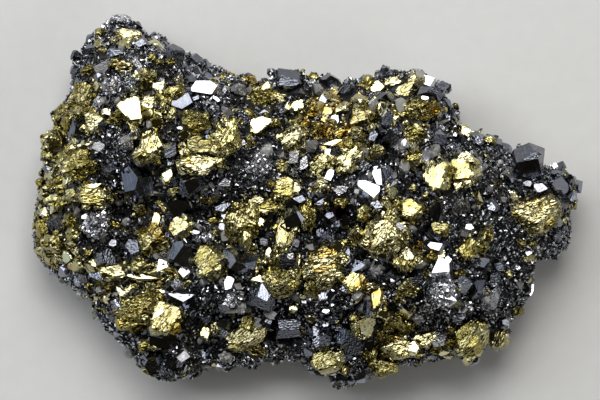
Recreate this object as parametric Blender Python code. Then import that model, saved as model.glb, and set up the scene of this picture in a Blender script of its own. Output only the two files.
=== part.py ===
"""A cabinet specimen of chalcopyrite: brassy crystals grown together with dark sphalerite.

The specimen is one natural piece, so it is one solid: a domed crust of ore, cut flat
underneath, with its larger crystals fused into the crust that they grew from.

The plan is the view from straight above. Positions in it are millimetres from the middle of
the specimen, x to the right and y away from the foot, and +Z is up from the flat cut.
"""

import math
import random
from typing import NamedTuple

import bmesh
import bpy
from mathutils import Matrix, Vector
from mathutils.geometry import delaunay_2d_cdt

MM = 0.001
ROUNDING = 1e-4

# Heights of the crust above the flat cut, in mm
RIM_HEIGHT = 9.0
CROWN_RISE = 15.0
DOME_POWER = 2.6
DOME_ROUNDNESS = 0.6

# The plan outline is star-shaped about this point, and every ring of the crust is the outline
# drawn in towards it.
PLAN_CENTRE = Vector((0.0, -3.0))

# Outline of the crust in the plan, clockwise from the peak at the back left, in mm
OUTLINE = [
    (-36.2, 36.2), (-32.8, 34.4), (-29.2, 32.6), (-25.4, 30.6), (-22.0, 28.4),
    (-18.8, 26.8), (-15.6, 25.0), (-11.4, 23.8), (-7.2, 22.6), (-2.8, 24.0),
    (1.4, 24.4), (5.6, 23.6), (10.6, 23.6), (14.8, 24.0), (17.2, 25.4),
    (21.6, 24.6), (25.6, 23.2), (28.2, 20.4), (30.4, 17.2), (31.6, 13.8),
    (35.4, 12.8), (39.2, 11.0), (43.2, 8.8), (47.2, 7.6), (51.2, 5.8),
    (53.8, 3.6), (53.6, 0.4), (53.4, -2.8), (54.0, -6.0), (53.2, -9.4),
    (50.2, -10.8), (47.4, -12.0), (46.4, -15.6), (45.2, -19.4), (43.0, -22.8),
    (40.2, -25.8), (37.4, -28.4), (33.6, -30.0), (29.4, -31.2), (24.6, -31.8),
    (20.0, -32.4), (16.2, -33.8), (12.6, -34.8), (9.6, -36.2), (6.8, -35.0),
    (2.8, -33.2), (-1.2, -31.6), (-5.4, -31.0), (-10.0, -32.0), (-14.8, -31.8),
    (-19.0, -33.2), (-22.8, -34.6), (-26.6, -36.0), (-30.0, -34.8), (-33.0, -32.0),
    (-36.2, -28.4), (-39.4, -25.4), (-41.2, -22.6), (-42.2, -19.8), (-45.4, -17.8),
    (-48.8, -15.0), (-52.0, -12.2), (-53.6, -9.6), (-54.0, -5.8), (-53.4, -0.8),
    (-52.6, 4.2), (-51.4, 9.4), (-50.0, 14.0), (-48.4, 18.8), (-46.4, 22.4),
    (-45.8, 26.4), (-45.4, 29.4), (-43.2, 32.0), (-41.4, 34.6), (-39.0, 36.2),
]

# Rings of the upper surface, as shares of the way from the plan centre to the outline
CROWN_RINGS = (1.0, 0.94, 0.85)
# Inside the last ring the crown is rough facets about this far across, in mm
CROWN_SPACING = 5.0
ROW_SPACING = 0.87
CROWN_MARGIN = 0.05
CROWN_ROUGHNESS = 0.7
# Rings below the rim down to the cut: share of the outline, share of the rim height
FLANK_RINGS = ((0.9, 0.0), (0.94, 0.3), (0.975, 0.64))
FLANK_ROUGHNESS = 0.022


class Swell(NamedTuple):
    """A rise or hollow of the crust: its place and radius in the plan and its height, in mm."""

    x: float
    y: float
    radius: float
    height: float


SWELLS = (
    Swell(-34.0, 20.0, 9.0, 2.4),
    Swell(-20.0, 11.0, 8.0, 3.0),
    Swell(8.0, 14.0, 9.0, 1.6),
    Swell(21.0, 19.0, 7.0, 2.4),
    Swell(27.0, 5.0, 6.0, 1.6),
    Swell(-30.0, -9.0, 7.0, 1.6),
    Swell(17.0, -7.0, 6.0, 1.8),
    Swell(29.0, -16.0, 6.0, 1.4),
    Swell(-8.0, -12.0, 7.0, 1.2),
    Swell(-36.6, -1.4, 2.4, -6.0),
    Swell(35.4, 11.2, 2.2, -3.4),
    Swell(-15.0, 0.0, 4.0, -2.0),
    Swell(-30.0, 30.0, 8.0, 1.5),
)


# Lesser swells, scattered over the whole crust
LUMP_COUNT = 70
LUMP_RADIUS = (1.8, 4.2)
LUMP_HEIGHT = (-1.3, 1.5)
LUMP_SPREAD = 52.0


def lesser_swells() -> list:
    """Small rises and hollows scattered over the crust."""
    rng = random.Random(21)
    swells = []
    for _ in range(LUMP_COUNT):
        x = rng.uniform(-LUMP_SPREAD, LUMP_SPREAD)
        y = rng.uniform(-LUMP_SPREAD, LUMP_SPREAD) * 0.66
        swells.append(Swell(x, y, rng.uniform(*LUMP_RADIUS), rng.uniform(*LUMP_HEIGHT)))
    return swells


ALL_SWELLS = list(SWELLS) + lesser_swells()


class Ledge(NamedTuple):
    """A step in the crust that drops towards the front: where it runs and how far it drops."""

    y: float
    slope: float
    x_from: float
    x_to: float
    drop: float


LEDGES = (
    Ledge(y=1.6, slope=0.02, x_from=-36.0, x_to=0.0, drop=2.2),
    Ledge(y=-20.0, slope=-0.02, x_from=-26.0, x_to=46.0, drop=3.6),
    Ledge(y=-21.0, slope=-0.75, x_from=-44.0, x_to=-24.0, drop=2.0),
)
LEDGE_WIDTH = 1.6
LEDGE_FADE = 5.0


def smooth_step(value: float) -> float:
    """Rises smoothly from 0 to 1 while the value goes from 0 to 1."""
    held = min(max(value, 0.0), 1.0)
    return held * held * (3.0 - 2.0 * held)


def outline_reach(direction: Vector) -> float:
    """Distance from the plan centre to the outline along a unit direction of the plan."""
    for i, corner in enumerate(OUTLINE):
        a = Vector(corner) - PLAN_CENTRE
        b = Vector(OUTLINE[i - 1]) - PLAN_CENTRE
        side = a - b
        turned = direction.x * side.y - direction.y * side.x
        if abs(turned) < ROUNDING:
            continue
        reach = (b.x * side.y - b.y * side.x) / turned
        along = (b.x * direction.y - b.y * direction.x) / turned
        if reach > 0.0 and -ROUNDING <= along <= 1.0 + ROUNDING:
            return reach
    raise ValueError("the outline doesn't go round the plan centre")


def outline_share(x: float, y: float) -> float:
    """How far a plan point lies from the plan centre towards the outline, from 0 to 1."""
    offset = Vector((x, y)) - PLAN_CENTRE
    if offset.length < 1e-6:
        return 0.0
    return min(offset.length / outline_reach(offset.normalized()), 1.0)


def crust_height(x: float, y: float) -> float:
    """Height of the crust's upper surface at a plan point, in mm."""
    share = outline_share(x, y)
    dome = (1.0 - share**DOME_POWER) ** DOME_ROUNDNESS
    relief = 0.0
    for swell in ALL_SWELLS:
        away = ((x - swell.x) ** 2 + (y - swell.y) ** 2) / (2.0 * swell.radius**2)
        relief += swell.height * math.exp(-away)
    for ledge in LEDGES:
        below = smooth_step((ledge.y + ledge.slope * x - y) / LEDGE_WIDTH)
        ends = smooth_step((x - ledge.x_from) / LEDGE_FADE)
        ends *= smooth_step((ledge.x_to - x) / LEDGE_FADE)
        relief -= ledge.drop * below * ends
    inland = smooth_step((1.0 - share) / 0.2)
    return RIM_HEIGHT + CROWN_RISE * dome + relief * inland


def crust_ring(mesh: bmesh.types.BMesh, share: float, height: float, wobble: float, rng) -> list:
    """A ring of the crust: the outline drawn in by a share, at a height or on the upper surface."""
    ring = []
    for corner in OUTLINE:
        rough = share + rng.uniform(-wobble, wobble)
        point = PLAN_CENTRE + (Vector(corner) - PLAN_CENTRE) * rough
        level = crust_height(point.x, point.y) if height is None else height
        ring.append(mesh.verts.new((point.x, point.y, level)))
    return ring


def crown_points(rng: random.Random) -> list:
    """Plan points scattered evenly over the crown, inside its outermost ring."""
    points = []
    rows = int(2 * LUMP_SPREAD / CROWN_SPACING)
    for row in range(-rows, rows):
        for column in range(-rows, rows):
            x = (column + 0.5 * (row % 2)) * CROWN_SPACING
            y = row * CROWN_SPACING * ROW_SPACING
            x += rng.uniform(-0.3, 0.3) * CROWN_SPACING
            y += rng.uniform(-0.3, 0.3) * CROWN_SPACING
            if outline_share(x, y) < CROWN_RINGS[-1] - CROWN_MARGIN:
                points.append(Vector((x, y)))
    return points


def crust_mesh() -> bmesh.types.BMesh:
    """The domed crust: rings from the flat cut to the shoulder, and a crown of rough facets."""
    rng = random.Random(11)
    mesh = bmesh.new()
    rings = [crust_ring(mesh, FLANK_RINGS[0][0], 0.0, 0.0, rng)]
    for share, level in FLANK_RINGS[1:]:
        rings.append(crust_ring(mesh, share, RIM_HEIGHT * level, FLANK_ROUGHNESS, rng))
    for share in CROWN_RINGS:
        rings.append(crust_ring(mesh, share, None, 0.0, rng))
    for lower, upper in zip(rings, rings[1:]):
        for i in range(len(OUTLINE)):
            mesh.faces.new((lower[i - 1], lower[i], upper[i], upper[i - 1]))
    mesh.faces.new(rings[0])

    shoulder = rings[-1]
    verts = list(shoulder)
    for point in crown_points(rng):
        level = crust_height(point.x, point.y) + rng.uniform(-CROWN_ROUGHNESS, CROWN_ROUGHNESS)
        verts.append(mesh.verts.new((point.x, point.y, level)))
    plan = [vert.co.xy for vert in verts]
    border = [(i, (i + 1) % len(shoulder)) for i in range(len(shoulder))]
    triangles = delaunay_2d_cdt(plan, border, [], 1, ROUNDING)[2]
    for corners in triangles:
        mesh.faces.new([verts[i] for i in corners])
    bmesh.ops.recalc_face_normals(mesh, faces=mesh.faces)
    return mesh


# Crystal habits, each cut from a cube that reaches 1 to each side: the normals of its faces and
# their distances from the middle. Local z is the normal of the crystal's broad face.
def ring_of_faces(count: int, start: float, rise: float, distance: float) -> list:
    """Faces in a ring about local z: a plane every 360 / count degrees, leaning by the rise."""
    planes = []
    for i in range(count):
        angle = math.radians(start + 360.0 * i / count)
        normal = Vector((math.cos(angle), math.sin(angle), rise)).normalized()
        planes.append((normal, distance))
    return planes


TABLET = ring_of_faces(5, 20.0, 0.45, 0.8)
WEDGE = ring_of_faces(3, 90.0, 0.35, 0.6)
LUMP = ring_of_faces(5, 10.0, 0.85, 0.8)
PYRAMID = ring_of_faces(3, 90.0, 0.75, 0.46)
BLOCK = ring_of_faces(4, 45.0, 0.8, 1.05)
CHIP = ring_of_faces(3, 90.0, 0.55, 0.55)

# Directions in which a crystal's broad face leans: the plan bearing and the tilt, in degrees
TOWARDS_BACK = (90.0, 19.0)
TOWARDS_LEFT = (150.0, 24.0)
TOWARDS_FRONT = (-75.0, 27.0)
TOWARDS_RIGHT = (10.0, 26.0)
FLAT = (90.0, 5.0)


class Crystal(NamedTuple):
    """A crystal: its place, length and width in the plan in mm, its long axis in degrees."""

    x: float
    y: float
    length: float
    width: float
    turn: float
    habit: list
    facing: tuple


CHALCOPYRITE = (
    Crystal(-33.6, 18.8, 6.2, 4.6, -45, TABLET, TOWARDS_BACK),
    Crystal(-35.0, 33.6, 4.4, 2.4, -15, TABLET, TOWARDS_BACK),
    Crystal(-37.2, 28.0, 3.2, 2.4, 0, LUMP, TOWARDS_LEFT),
    Crystal(-43.4, 21.4, 5.0, 4.4, 70, LUMP, TOWARDS_LEFT),
    Crystal(-32.0, 24.2, 4.2, 3.4, 60, WEDGE, TOWARDS_BACK),
    Crystal(-48.0, 17.8, 3.8, 3.0, 30, LUMP, TOWARDS_LEFT),
    Crystal(-44.0, 15.2, 4.4, 4.0, 100, LUMP, TOWARDS_FRONT),
    Crystal(-40.0, 15.6, 4.4, 3.8, 20, LUMP, TOWARDS_BACK),
    Crystal(-48.6, 12.6, 3.4, 3.2, 0, LUMP, TOWARDS_LEFT),
    Crystal(-36.4, 16.8, 3.4, 2.4, 0, WEDGE, TOWARDS_FRONT),
    Crystal(-49.2, 10.0, 4.0, 4.0, 0, TABLET, TOWARDS_FRONT),
    Crystal(-44.2, 7.6, 7.0, 5.0, 5, LUMP, TOWARDS_LEFT),
    Crystal(-41.6, 1.4, 5.6, 4.6, 0, BLOCK, FLAT),
    Crystal(-30.0, 11.8, 6.8, 4.8, 80, WEDGE, TOWARDS_BACK),
    Crystal(-51.4, -3.4, 4.0, 3.0, 90, LUMP, TOWARDS_LEFT),
    Crystal(-49.2, -7.4, 3.8, 3.6, 0, LUMP, TOWARDS_BACK),
    Crystal(-31.6, -2.0, 4.0, 2.6, 80, LUMP, TOWARDS_FRONT),
    Crystal(-28.8, -4.0, 4.4, 2.4, 85, TABLET, TOWARDS_BACK),
    Crystal(-30.4, -7.6, 6.0, 4.4, 10, LUMP, TOWARDS_LEFT),
    Crystal(-37.6, -13.8, 4.6, 3.0, 0, TABLET, TOWARDS_BACK),
    Crystal(-32.2, -13.0, 6.4, 3.2, 0, BLOCK, TOWARDS_FRONT),
    Crystal(-33.8, -21.8, 6.8, 5.4, 15, LUMP, TOWARDS_FRONT),
    Crystal(-27.4, -22.8, 6.2, 5.2, 50, TABLET, TOWARDS_BACK),
    Crystal(-25.4, 21.8, 4.0, 2.8, 20, WEDGE, TOWARDS_BACK),
    Crystal(-8.0, 20.8, 6.6, 3.8, 10, LUMP, TOWARDS_FRONT),
    Crystal(-11.4, 24.4, 3.2, 2.0, 0, LUMP, TOWARDS_BACK),
    Crystal(-21.4, 15.8, 5.2, 4.2, 10, LUMP, TOWARDS_RIGHT),
    Crystal(-15.0, 13.4, 7.0, 4.8, 65, TABLET, TOWARDS_LEFT),
    Crystal(-8.8, 15.4, 6.4, 3.0, 25, TABLET, TOWARDS_BACK),
    Crystal(-20.4, 11.2, 6.0, 3.2, -10, LUMP, TOWARDS_BACK),
    Crystal(-20.4, 8.0, 8.0, 3.6, 5, WEDGE, TOWARDS_LEFT),
    Crystal(-1.0, 19.4, 3.2, 3.0, 30, TABLET, TOWARDS_BACK),
    Crystal(-2.4, 12.8, 5.0, 4.2, 40, LUMP, TOWARDS_LEFT),
    Crystal(-26.6, 5.4, 3.0, 2.6, 60, WEDGE, TOWARDS_BACK),
    Crystal(-3.6, 3.0, 5.0, 4.4, 90, TABLET, TOWARDS_BACK),
    Crystal(-24.4, -4.8, 4.6, 3.8, 30, LUMP, TOWARDS_FRONT),
    Crystal(-11.4, -3.6, 7.6, 6.0, 80, LUMP, FLAT),
    Crystal(-6.2, -0.6, 4.8, 2.8, 10, WEDGE, TOWARDS_BACK),
    Crystal(-3.8, -6.0, 6.8, 4.4, 80, LUMP, TOWARDS_LEFT),
    Crystal(-18.8, -11.6, 5.8, 5.2, 45, LUMP, TOWARDS_BACK),
    Crystal(-4.8, -15.2, 6.4, 5.2, 20, LUMP, TOWARDS_FRONT),
    Crystal(-19.4, -14.8, 3.2, 2.4, 0, LUMP, TOWARDS_LEFT),
    Crystal(2.0, 18.2, 3.4, 2.6, 80, LUMP, TOWARDS_RIGHT),
    Crystal(5.0, 18.2, 2.6, 2.0, 30, TABLET, TOWARDS_BACK),
    Crystal(12.6, 23.4, 3.4, 2.6, 70, WEDGE, TOWARDS_BACK),
    Crystal(15.4, 23.0, 3.0, 2.6, 0, TABLET, TOWARDS_BACK),
    Crystal(20.0, 23.2, 8.4, 6.0, 35, LUMP, TOWARDS_LEFT),
    Crystal(11.0, 17.0, 5.0, 4.8, 20, LUMP, TOWARDS_RIGHT),
    Crystal(23.2, 17.4, 6.8, 4.0, 15, LUMP, TOWARDS_FRONT),
    Crystal(22.6, 14.0, 3.4, 2.8, 0, LUMP, TOWARDS_LEFT),
    Crystal(9.0, 8.8, 6.4, 4.0, 50, WEDGE, TOWARDS_BACK),
    Crystal(3.4, 7.4, 4.4, 3.6, 60, LUMP, TOWARDS_LEFT),
    Crystal(22.0, 8.8, 3.8, 2.8, 30, TABLET, TOWARDS_LEFT),
    Crystal(26.4, 5.4, 6.0, 5.0, 70, LUMP, TOWARDS_LEFT),
    Crystal(31.4, 6.4, 6.6, 5.4, 20, LUMP, TOWARDS_BACK),
    Crystal(37.6, 12.6, 4.2, 2.4, 30, LUMP, TOWARDS_RIGHT),
    Crystal(47.0, -2.0, 8.4, 6.6, 25, LUMP, TOWARDS_FRONT),
    Crystal(1.4, -2.4, 5.2, 3.2, 85, LUMP, TOWARDS_RIGHT),
    Crystal(12.0, -1.8, 3.6, 2.8, 90, TABLET, TOWARDS_LEFT),
    Crystal(16.8, -6.4, 9.0, 7.6, 80, LUMP, TOWARDS_LEFT),
    Crystal(19.8, -9.8, 4.6, 4.2, 30, WEDGE, TOWARDS_BACK),
    Crystal(21.8, -1.2, 3.8, 3.2, 0, LUMP, TOWARDS_RIGHT),
    Crystal(4.6, -12.0, 7.6, 6.2, 15, LUMP, TOWARDS_BACK),
    Crystal(10.2, -15.6, 4.4, 3.8, 60, TABLET, TOWARDS_BACK),
    Crystal(14.8, -18.8, 6.0, 2.8, 85, BLOCK, TOWARDS_LEFT),
    Crystal(2.0, -16.8, 3.8, 2.8, 70, LUMP, TOWARDS_FRONT),
    Crystal(21.4, -17.6, 4.0, 3.2, 50, LUMP, TOWARDS_RIGHT),
    Crystal(32.8, -9.0, 4.6, 3.8, 50, LUMP, TOWARDS_LEFT),
    Crystal(26.4, -5.0, 3.6, 2.8, 30, LUMP, TOWARDS_BACK),
    Crystal(-11.0, -25.6, 7.2, 4.4, 30, TABLET, TOWARDS_LEFT),
    Crystal(-19.4, -26.2, 2.8, 2.2, 80, WEDGE, TOWARDS_BACK),
    Crystal(13.0, -24.8, 5.6, 4.2, 10, WEDGE, TOWARDS_LEFT),
    Crystal(18.0, -23.2, 4.0, 3.8, 0, LUMP, TOWARDS_RIGHT),
    Crystal(19.6, -28.2, 5.6, 4.2, 20, TABLET, TOWARDS_BACK),
    Crystal(24.8, -27.2, 4.2, 3.0, 15, LUMP, TOWARDS_BACK),
    Crystal(4.2, -31.2, 6.2, 4.4, 20, LUMP, TOWARDS_LEFT),
    Crystal(16.2, -32.0, 4.8, 3.2, 0, LUMP, TOWARDS_FRONT),
    Crystal(33.0, -26.8, 6.6, 5.2, 50, LUMP, TOWARDS_LEFT),
    Crystal(39.0, -27.0, 4.6, 3.6, 70, LUMP, TOWARDS_BACK),
    Crystal(-29.4, -28.4, 4.0, 2.6, 20, LUMP, TOWARDS_FRONT),
)

SPHALERITE = (
    Crystal(-32.2, 4.8, 6.4, 5.8, 100, PYRAMID, FLAT),
    Crystal(-37.0, 31.2, 3.4, 2.2, 10, PYRAMID, TOWARDS_BACK),
    Crystal(-21.8, 3.4, 4.6, 4.2, 90, TABLET, TOWARDS_FRONT),
    Crystal(-12.8, 22.0, 3.2, 3.0, 30, PYRAMID, TOWARDS_FRONT),
    Crystal(-2.4, 23.2, 5.4, 4.2, 10, LUMP, TOWARDS_FRONT),
    Crystal(5.0, 24.2, 3.0, 2.2, 20, LUMP, TOWARDS_RIGHT),
    Crystal(9.2, 22.0, 3.8, 3.2, 50, PYRAMID, FLAT),
    Crystal(26.4, 22.0, 4.4, 2.4, 0, TABLET, TOWARDS_FRONT),
    Crystal(16.2, 16.0, 3.6, 3.4, 30, PYRAMID, FLAT),
    Crystal(-49.0, -3.4, 4.2, 3.8, 30, PYRAMID, TOWARDS_LEFT),
    Crystal(-32.8, -9.8, 4.2, 4.0, 60, PYRAMID, FLAT),
    Crystal(-40.0, -10.6, 3.8, 3.4, 10, TABLET, TOWARDS_LEFT),
    Crystal(-24.8, -1.0, 5.0, 3.4, 20, WEDGE, TOWARDS_FRONT),
    Crystal(-16.0, -1.6, 5.2, 4.0, 20, PYRAMID, TOWARDS_RIGHT),
    Crystal(-23.8, -9.2, 6.0, 5.2, 80, PYRAMID, FLAT),
    Crystal(-12.8, -11.2, 6.2, 5.0, 30, LUMP, TOWARDS_FRONT),
    Crystal(-1.8, -3.8, 5.0, 3.8, 60, TABLET, TOWARDS_LEFT),
    Crystal(14.2, 12.4, 3.2, 2.8, 30, PYRAMID, FLAT),
    Crystal(16.8, 12.4, 3.2, 2.8, 60, WEDGE, TOWARDS_LEFT),
    Crystal(7.2, -1.6, 3.4, 3.0, 20, LUMP, FLAT),
    Crystal(10.0, -11.6, 6.4, 5.0, 90, PYRAMID, FLAT),
    Crystal(17.6, -13.8, 4.2, 3.8, 40, PYRAMID, TOWARDS_RIGHT),
    Crystal(22.2, -15.0, 3.4, 3.0, 0, WEDGE, TOWARDS_FRONT),
    Crystal(26.4, -1.8, 3.8, 3.2, 80, TABLET, TOWARDS_FRONT),
    Crystal(45.2, 6.8, 6.4, 5.2, 70, WEDGE, TOWARDS_FRONT),
    Crystal(51.0, 3.0, 4.8, 4.0, 10, LUMP, TOWARDS_RIGHT),
    Crystal(52.2, -0.2, 3.2, 3.0, 30, LUMP, TOWARDS_RIGHT),
    Crystal(35.6, -12.6, 3.4, 3.2, 60, PYRAMID, FLAT),
    Crystal(38.6, -13.4, 3.4, 3.0, 0, PYRAMID, TOWARDS_LEFT),
    Crystal(34.8, -17.8, 3.8, 3.0, 90, WEDGE, TOWARDS_FRONT),
    Crystal(-2.8, -24.6, 6.2, 4.4, 5, TABLET, FLAT),
    Crystal(-6.8, -24.2, 3.4, 3.2, 40, LUMP, TOWARDS_FRONT),
    Crystal(9.2, -26.8, 6.0, 5.4, 85, PYRAMID, FLAT),
    Crystal(-29.4, -31.6, 4.4, 4.0, 30, PYRAMID, FLAT),
    Crystal(11.0, -32.6, 3.6, 3.2, 30, PYRAMID, FLAT),
    Crystal(40.4, -23.8, 3.4, 3.0, 10, PYRAMID, TOWARDS_FRONT),
)

GALENA = (
    Crystal(-36.2, 36.0, 3.2, 1.8, 0, WEDGE, TOWARDS_BACK),
    Crystal(-19.4, 22.6, 5.2, 2.4, 0, WEDGE, TOWARDS_BACK),
    Crystal(-41.4, -4.4, 5.2, 4.8, 20, BLOCK, TOWARDS_LEFT),
    Crystal(24.8, 24.0, 3.0, 2.2, -20, WEDGE, TOWARDS_BACK),
    Crystal(13.4, 3.4, 5.6, 3.6, 25, WEDGE, TOWARDS_BACK),
    Crystal(5.4, 5.0, 2.4, 2.2, 10, BLOCK, TOWARDS_BACK),
    Crystal(27.6, -13.2, 3.8, 3.6, 20, BLOCK, TOWARDS_BACK),
    Crystal(27.8, -17.8, 5.6, 5.0, 10, BLOCK, TOWARDS_FRONT),
    Crystal(-27.8, -12.8, 3.0, 2.6, 30, WEDGE, TOWARDS_BACK),
    Crystal(-14.0, -19.4, 3.8, 3.0, 20, BLOCK, TOWARDS_BACK),
    Crystal(-14.6, -16.2, 2.8, 2.2, 80, BLOCK, TOWARDS_BACK),
    Crystal(47.6, 2.8, 2.4, 2.2, 0, BLOCK, TOWARDS_BACK),
    Crystal(33.2, -5.2, 2.4, 2.2, 0, WEDGE, TOWARDS_BACK),
)

# Each crystal is this much larger than what shows of it between its neighbours.
BURIED_GROWTH = 1.22
# A crystal stands out of the crust by this share of its width.
STAND_OUT = 0.36
DEPTH_TO_WIDTH = 0.6
FACING_JITTER = 5.0

# Lesser crystals that fill the crust between those above, and clothe its flanks
FILL_COUNT = 80
FILL_SIZE = (3.0, 5.2)
FILL_GAP = 0.52
FLANK_COUNT = 60
FLANK_SIZE = (4.4, 7.4)
FLANK_LEVELS = (1.6, 6.8, 4.2)
FLANK_BURIAL = 0.3

# Corners closer together than this are one corner, in metres
WELD = 0.000005
# Where crystals cross they leave slivers. The flattest corners go until this many triangles stay.
KEPT_TRIANGLES = 9400

ORE_COLOURS = {
    "chalcopyrite": ((0.50, 0.36, 0.09, 1.0), 0.32, 1.0),
    "sphalerite": ((0.02, 0.022, 0.03, 1.0), 0.2, 0.4),
    "galena": ((0.42, 0.43, 0.46, 1.0), 0.25, 1.0),
    "ore_crust": ((0.06, 0.058, 0.055, 1.0), 0.5, 0.2),
}


def ore_material(name: str) -> bpy.types.Material:
    """A Principled material with the mineral's colour, roughness and metallic value."""
    colour, roughness, metallic = ORE_COLOURS[name]
    material = bpy.data.materials.new(name)
    material.use_nodes = True
    shader = material.node_tree.nodes["Principled BSDF"]
    shader.inputs["Base Color"].default_value = colour
    shader.inputs["Roughness"].default_value = roughness
    shader.inputs["Metallic"].default_value = metallic
    material.diffuse_color = colour
    return material


def crystal_mesh(habit: list, half_size: Vector) -> bmesh.types.BMesh:
    """A crystal cut from a cube by the planes of its habit, then stretched to its size."""
    mesh = bmesh.new()
    bmesh.ops.create_cube(mesh, size=2.0)
    for normal, distance in habit:
        everything = mesh.verts[:] + mesh.edges[:] + mesh.faces[:]
        cut = bmesh.ops.bisect_plane(
            mesh, geom=everything, plane_co=normal * distance, plane_no=normal, clear_outer=True
        )
        rim = [item for item in cut["geom_cut"] if isinstance(item, bmesh.types.BMEdge)]
        if rim:
            bmesh.ops.contextual_create(mesh, geom=rim)
    bmesh.ops.scale(mesh, vec=half_size, verts=mesh.verts)
    bmesh.ops.recalc_face_normals(mesh, faces=mesh.faces)
    return mesh


def pointing(normal: Vector, turn: float) -> Matrix:
    """The rotation that takes local z to the normal and local x to a bearing of the plan."""
    along = Vector((math.cos(math.radians(turn)), math.sin(math.radians(turn)), 0.0))
    across = normal.cross(along).normalized()
    along = across.cross(normal)
    return Matrix((along, across, normal)).transposed().to_4x4()


def leaning(bearing: float, tilt: float) -> Vector:
    """The unit normal of a face that leans from level by the tilt towards the bearing."""
    flat = math.sin(math.radians(tilt))
    return Vector((
        flat * math.cos(math.radians(bearing)),
        flat * math.sin(math.radians(bearing)),
        math.cos(math.radians(tilt)),
    ))


def grown_crystal(crystal: Crystal, rng: random.Random) -> tuple:
    """The mesh of a crystal and the place in the crust where it stands."""
    bearing, tilt = crystal.facing
    tilt += rng.uniform(-FACING_JITTER, FACING_JITTER)
    bearing += rng.uniform(-FACING_JITTER, FACING_JITTER)
    normal = leaning(bearing, tilt)
    half_length = crystal.length * BURIED_GROWTH / 2
    half_width = crystal.width * BURIED_GROWTH / 2
    depth = crystal.width * DEPTH_TO_WIDTH
    mesh = crystal_mesh(crystal.habit, Vector((half_length, half_width, depth)))
    stand = crystal.width * STAND_OUT - depth
    centre = Vector((crystal.x, crystal.y, crust_height(crystal.x, crystal.y))) + normal * stand
    return mesh, Matrix.Translation(centre) @ pointing(normal, crystal.turn)


def stands_clear(x: float, y: float, size: float, others: list) -> bool:
    """Whether a lesser crystal at a plan point would leave its neighbours in view."""
    return all(
        math.hypot(x - other.x, y - other.y) > FILL_GAP * (size + other.length) / 2
        for other in others
    )


def fill_crystals(rng: random.Random) -> list:
    """Lesser crystals scattered over the crust between the named ones."""
    named = list(CHALCOPYRITE + SPHALERITE + GALENA)
    fill = []
    while len(fill) < FILL_COUNT:
        angle = rng.uniform(0.0, 2.0 * math.pi)
        direction = Vector((math.cos(angle), math.sin(angle)))
        spot = PLAN_CENTRE + direction * outline_reach(direction) * math.sqrt(rng.uniform(0.0, 0.94))
        size = rng.uniform(*FILL_SIZE)
        if not stands_clear(spot.x, spot.y, size, named + fill):
            continue
        width = size * rng.uniform(0.7, 0.95)
        habit = rng.choice((WEDGE, CHIP, CHIP))
        facing = (rng.uniform(0.0, 360.0), rng.uniform(5.0, 35.0))
        fill.append(Crystal(spot.x, spot.y, size, width, rng.uniform(0.0, 180.0), habit, facing))
    return fill


def flank_crystal(index: int, rng: random.Random) -> tuple:
    """The mesh of a crystal on the crust's flank, facing outwards, and its place there."""
    angle = 2.0 * math.pi * (index + rng.uniform(0.1, 0.9)) / FLANK_COUNT
    direction = Vector((math.cos(angle), math.sin(angle)))
    length = rng.uniform(*FLANK_SIZE)
    width = length * rng.uniform(0.7, 0.95)
    level = FLANK_LEVELS[index % len(FLANK_LEVELS)] + rng.uniform(-0.4, 0.4)
    share = 0.9 + 0.09 * level / RIM_HEIGHT
    depth = width * DEPTH_TO_WIDTH
    normal = Vector((direction.x, direction.y, rng.uniform(-0.1, 0.5))).normalized()
    reach = outline_reach(direction) * share - depth * FLANK_BURIAL
    centre = Vector((*(PLAN_CENTRE + direction * reach), level))
    habit = rng.choice((WEDGE, CHIP, BLOCK, WEDGE))
    mesh = crystal_mesh(habit, Vector((length / 2, width / 2, depth)))
    bearing = math.degrees(angle) + rng.choice((0.0, 90.0)) + rng.uniform(20.0, 70.0)
    return mesh, Matrix.Translation(centre) @ pointing(normal, bearing)


def clipped_above_cut(mesh: bmesh.types.BMesh) -> None:
    """Cuts off what reaches below the flat cut that the specimen rests on."""
    everything = mesh.verts[:] + mesh.edges[:] + mesh.faces[:]
    cut = bmesh.ops.bisect_plane(
        mesh, geom=everything, plane_co=(0, 0, 0), plane_no=(0, 0, -1), clear_outer=True
    )
    rim = [item for item in cut["geom_cut"] if isinstance(item, bmesh.types.BMEdge)]
    if rim:
        bmesh.ops.contextual_create(mesh, geom=rim)


def add_object(name: str, mesh: bmesh.types.BMesh, home: bpy.types.Collection) -> bpy.types.Object:
    """An object made from a mesh in millimetres, at its real size."""
    bmesh.ops.scale(mesh, vec=(MM, MM, MM), verts=mesh.verts)
    data = bpy.data.meshes.new(name)
    mesh.to_mesh(data)
    mesh.free()
    made = bpy.data.objects.new(name, data)
    home.objects.link(made)
    return made


def add_crystal(name: str, mesh: bmesh.types.BMesh, place: Matrix, mineral: str, home) -> None:
    """A crystal in the collection of shapes that are fused into the crust."""
    bmesh.ops.transform(mesh, matrix=place, verts=mesh.verts)
    clipped_above_cut(mesh)
    bmesh.ops.recalc_face_normals(mesh, faces=mesh.faces)
    bmesh.ops.triangulate(mesh, faces=[face for face in mesh.faces if len(face.verts) > 4])
    made = add_object(name, mesh, home)
    made.data.materials.append(bpy.data.materials[mineral])
    made.hide_render = True
    made.display_type = "WIRE"


def keep_largest_shell(mesh: bmesh.types.BMesh) -> None:
    """Leaves only the outer shell, without the closed gaps left between buried crystals."""
    shells = []
    waiting = set(mesh.verts)
    while waiting:
        shell = {waiting.pop()}
        edge_of_growth = list(shell)
        while edge_of_growth:
            vert = edge_of_growth.pop()
            for edge in vert.link_edges:
                other = edge.other_vert(vert)
                if other in waiting:
                    waiting.discard(other)
                    shell.add(other)
                    edge_of_growth.append(other)
        shells.append(shell)
    shells.sort(key=len)
    spare = [vert for shell in shells[:-1] for vert in shell]
    bmesh.ops.delete(mesh, geom=spare, context="VERTS")


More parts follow.
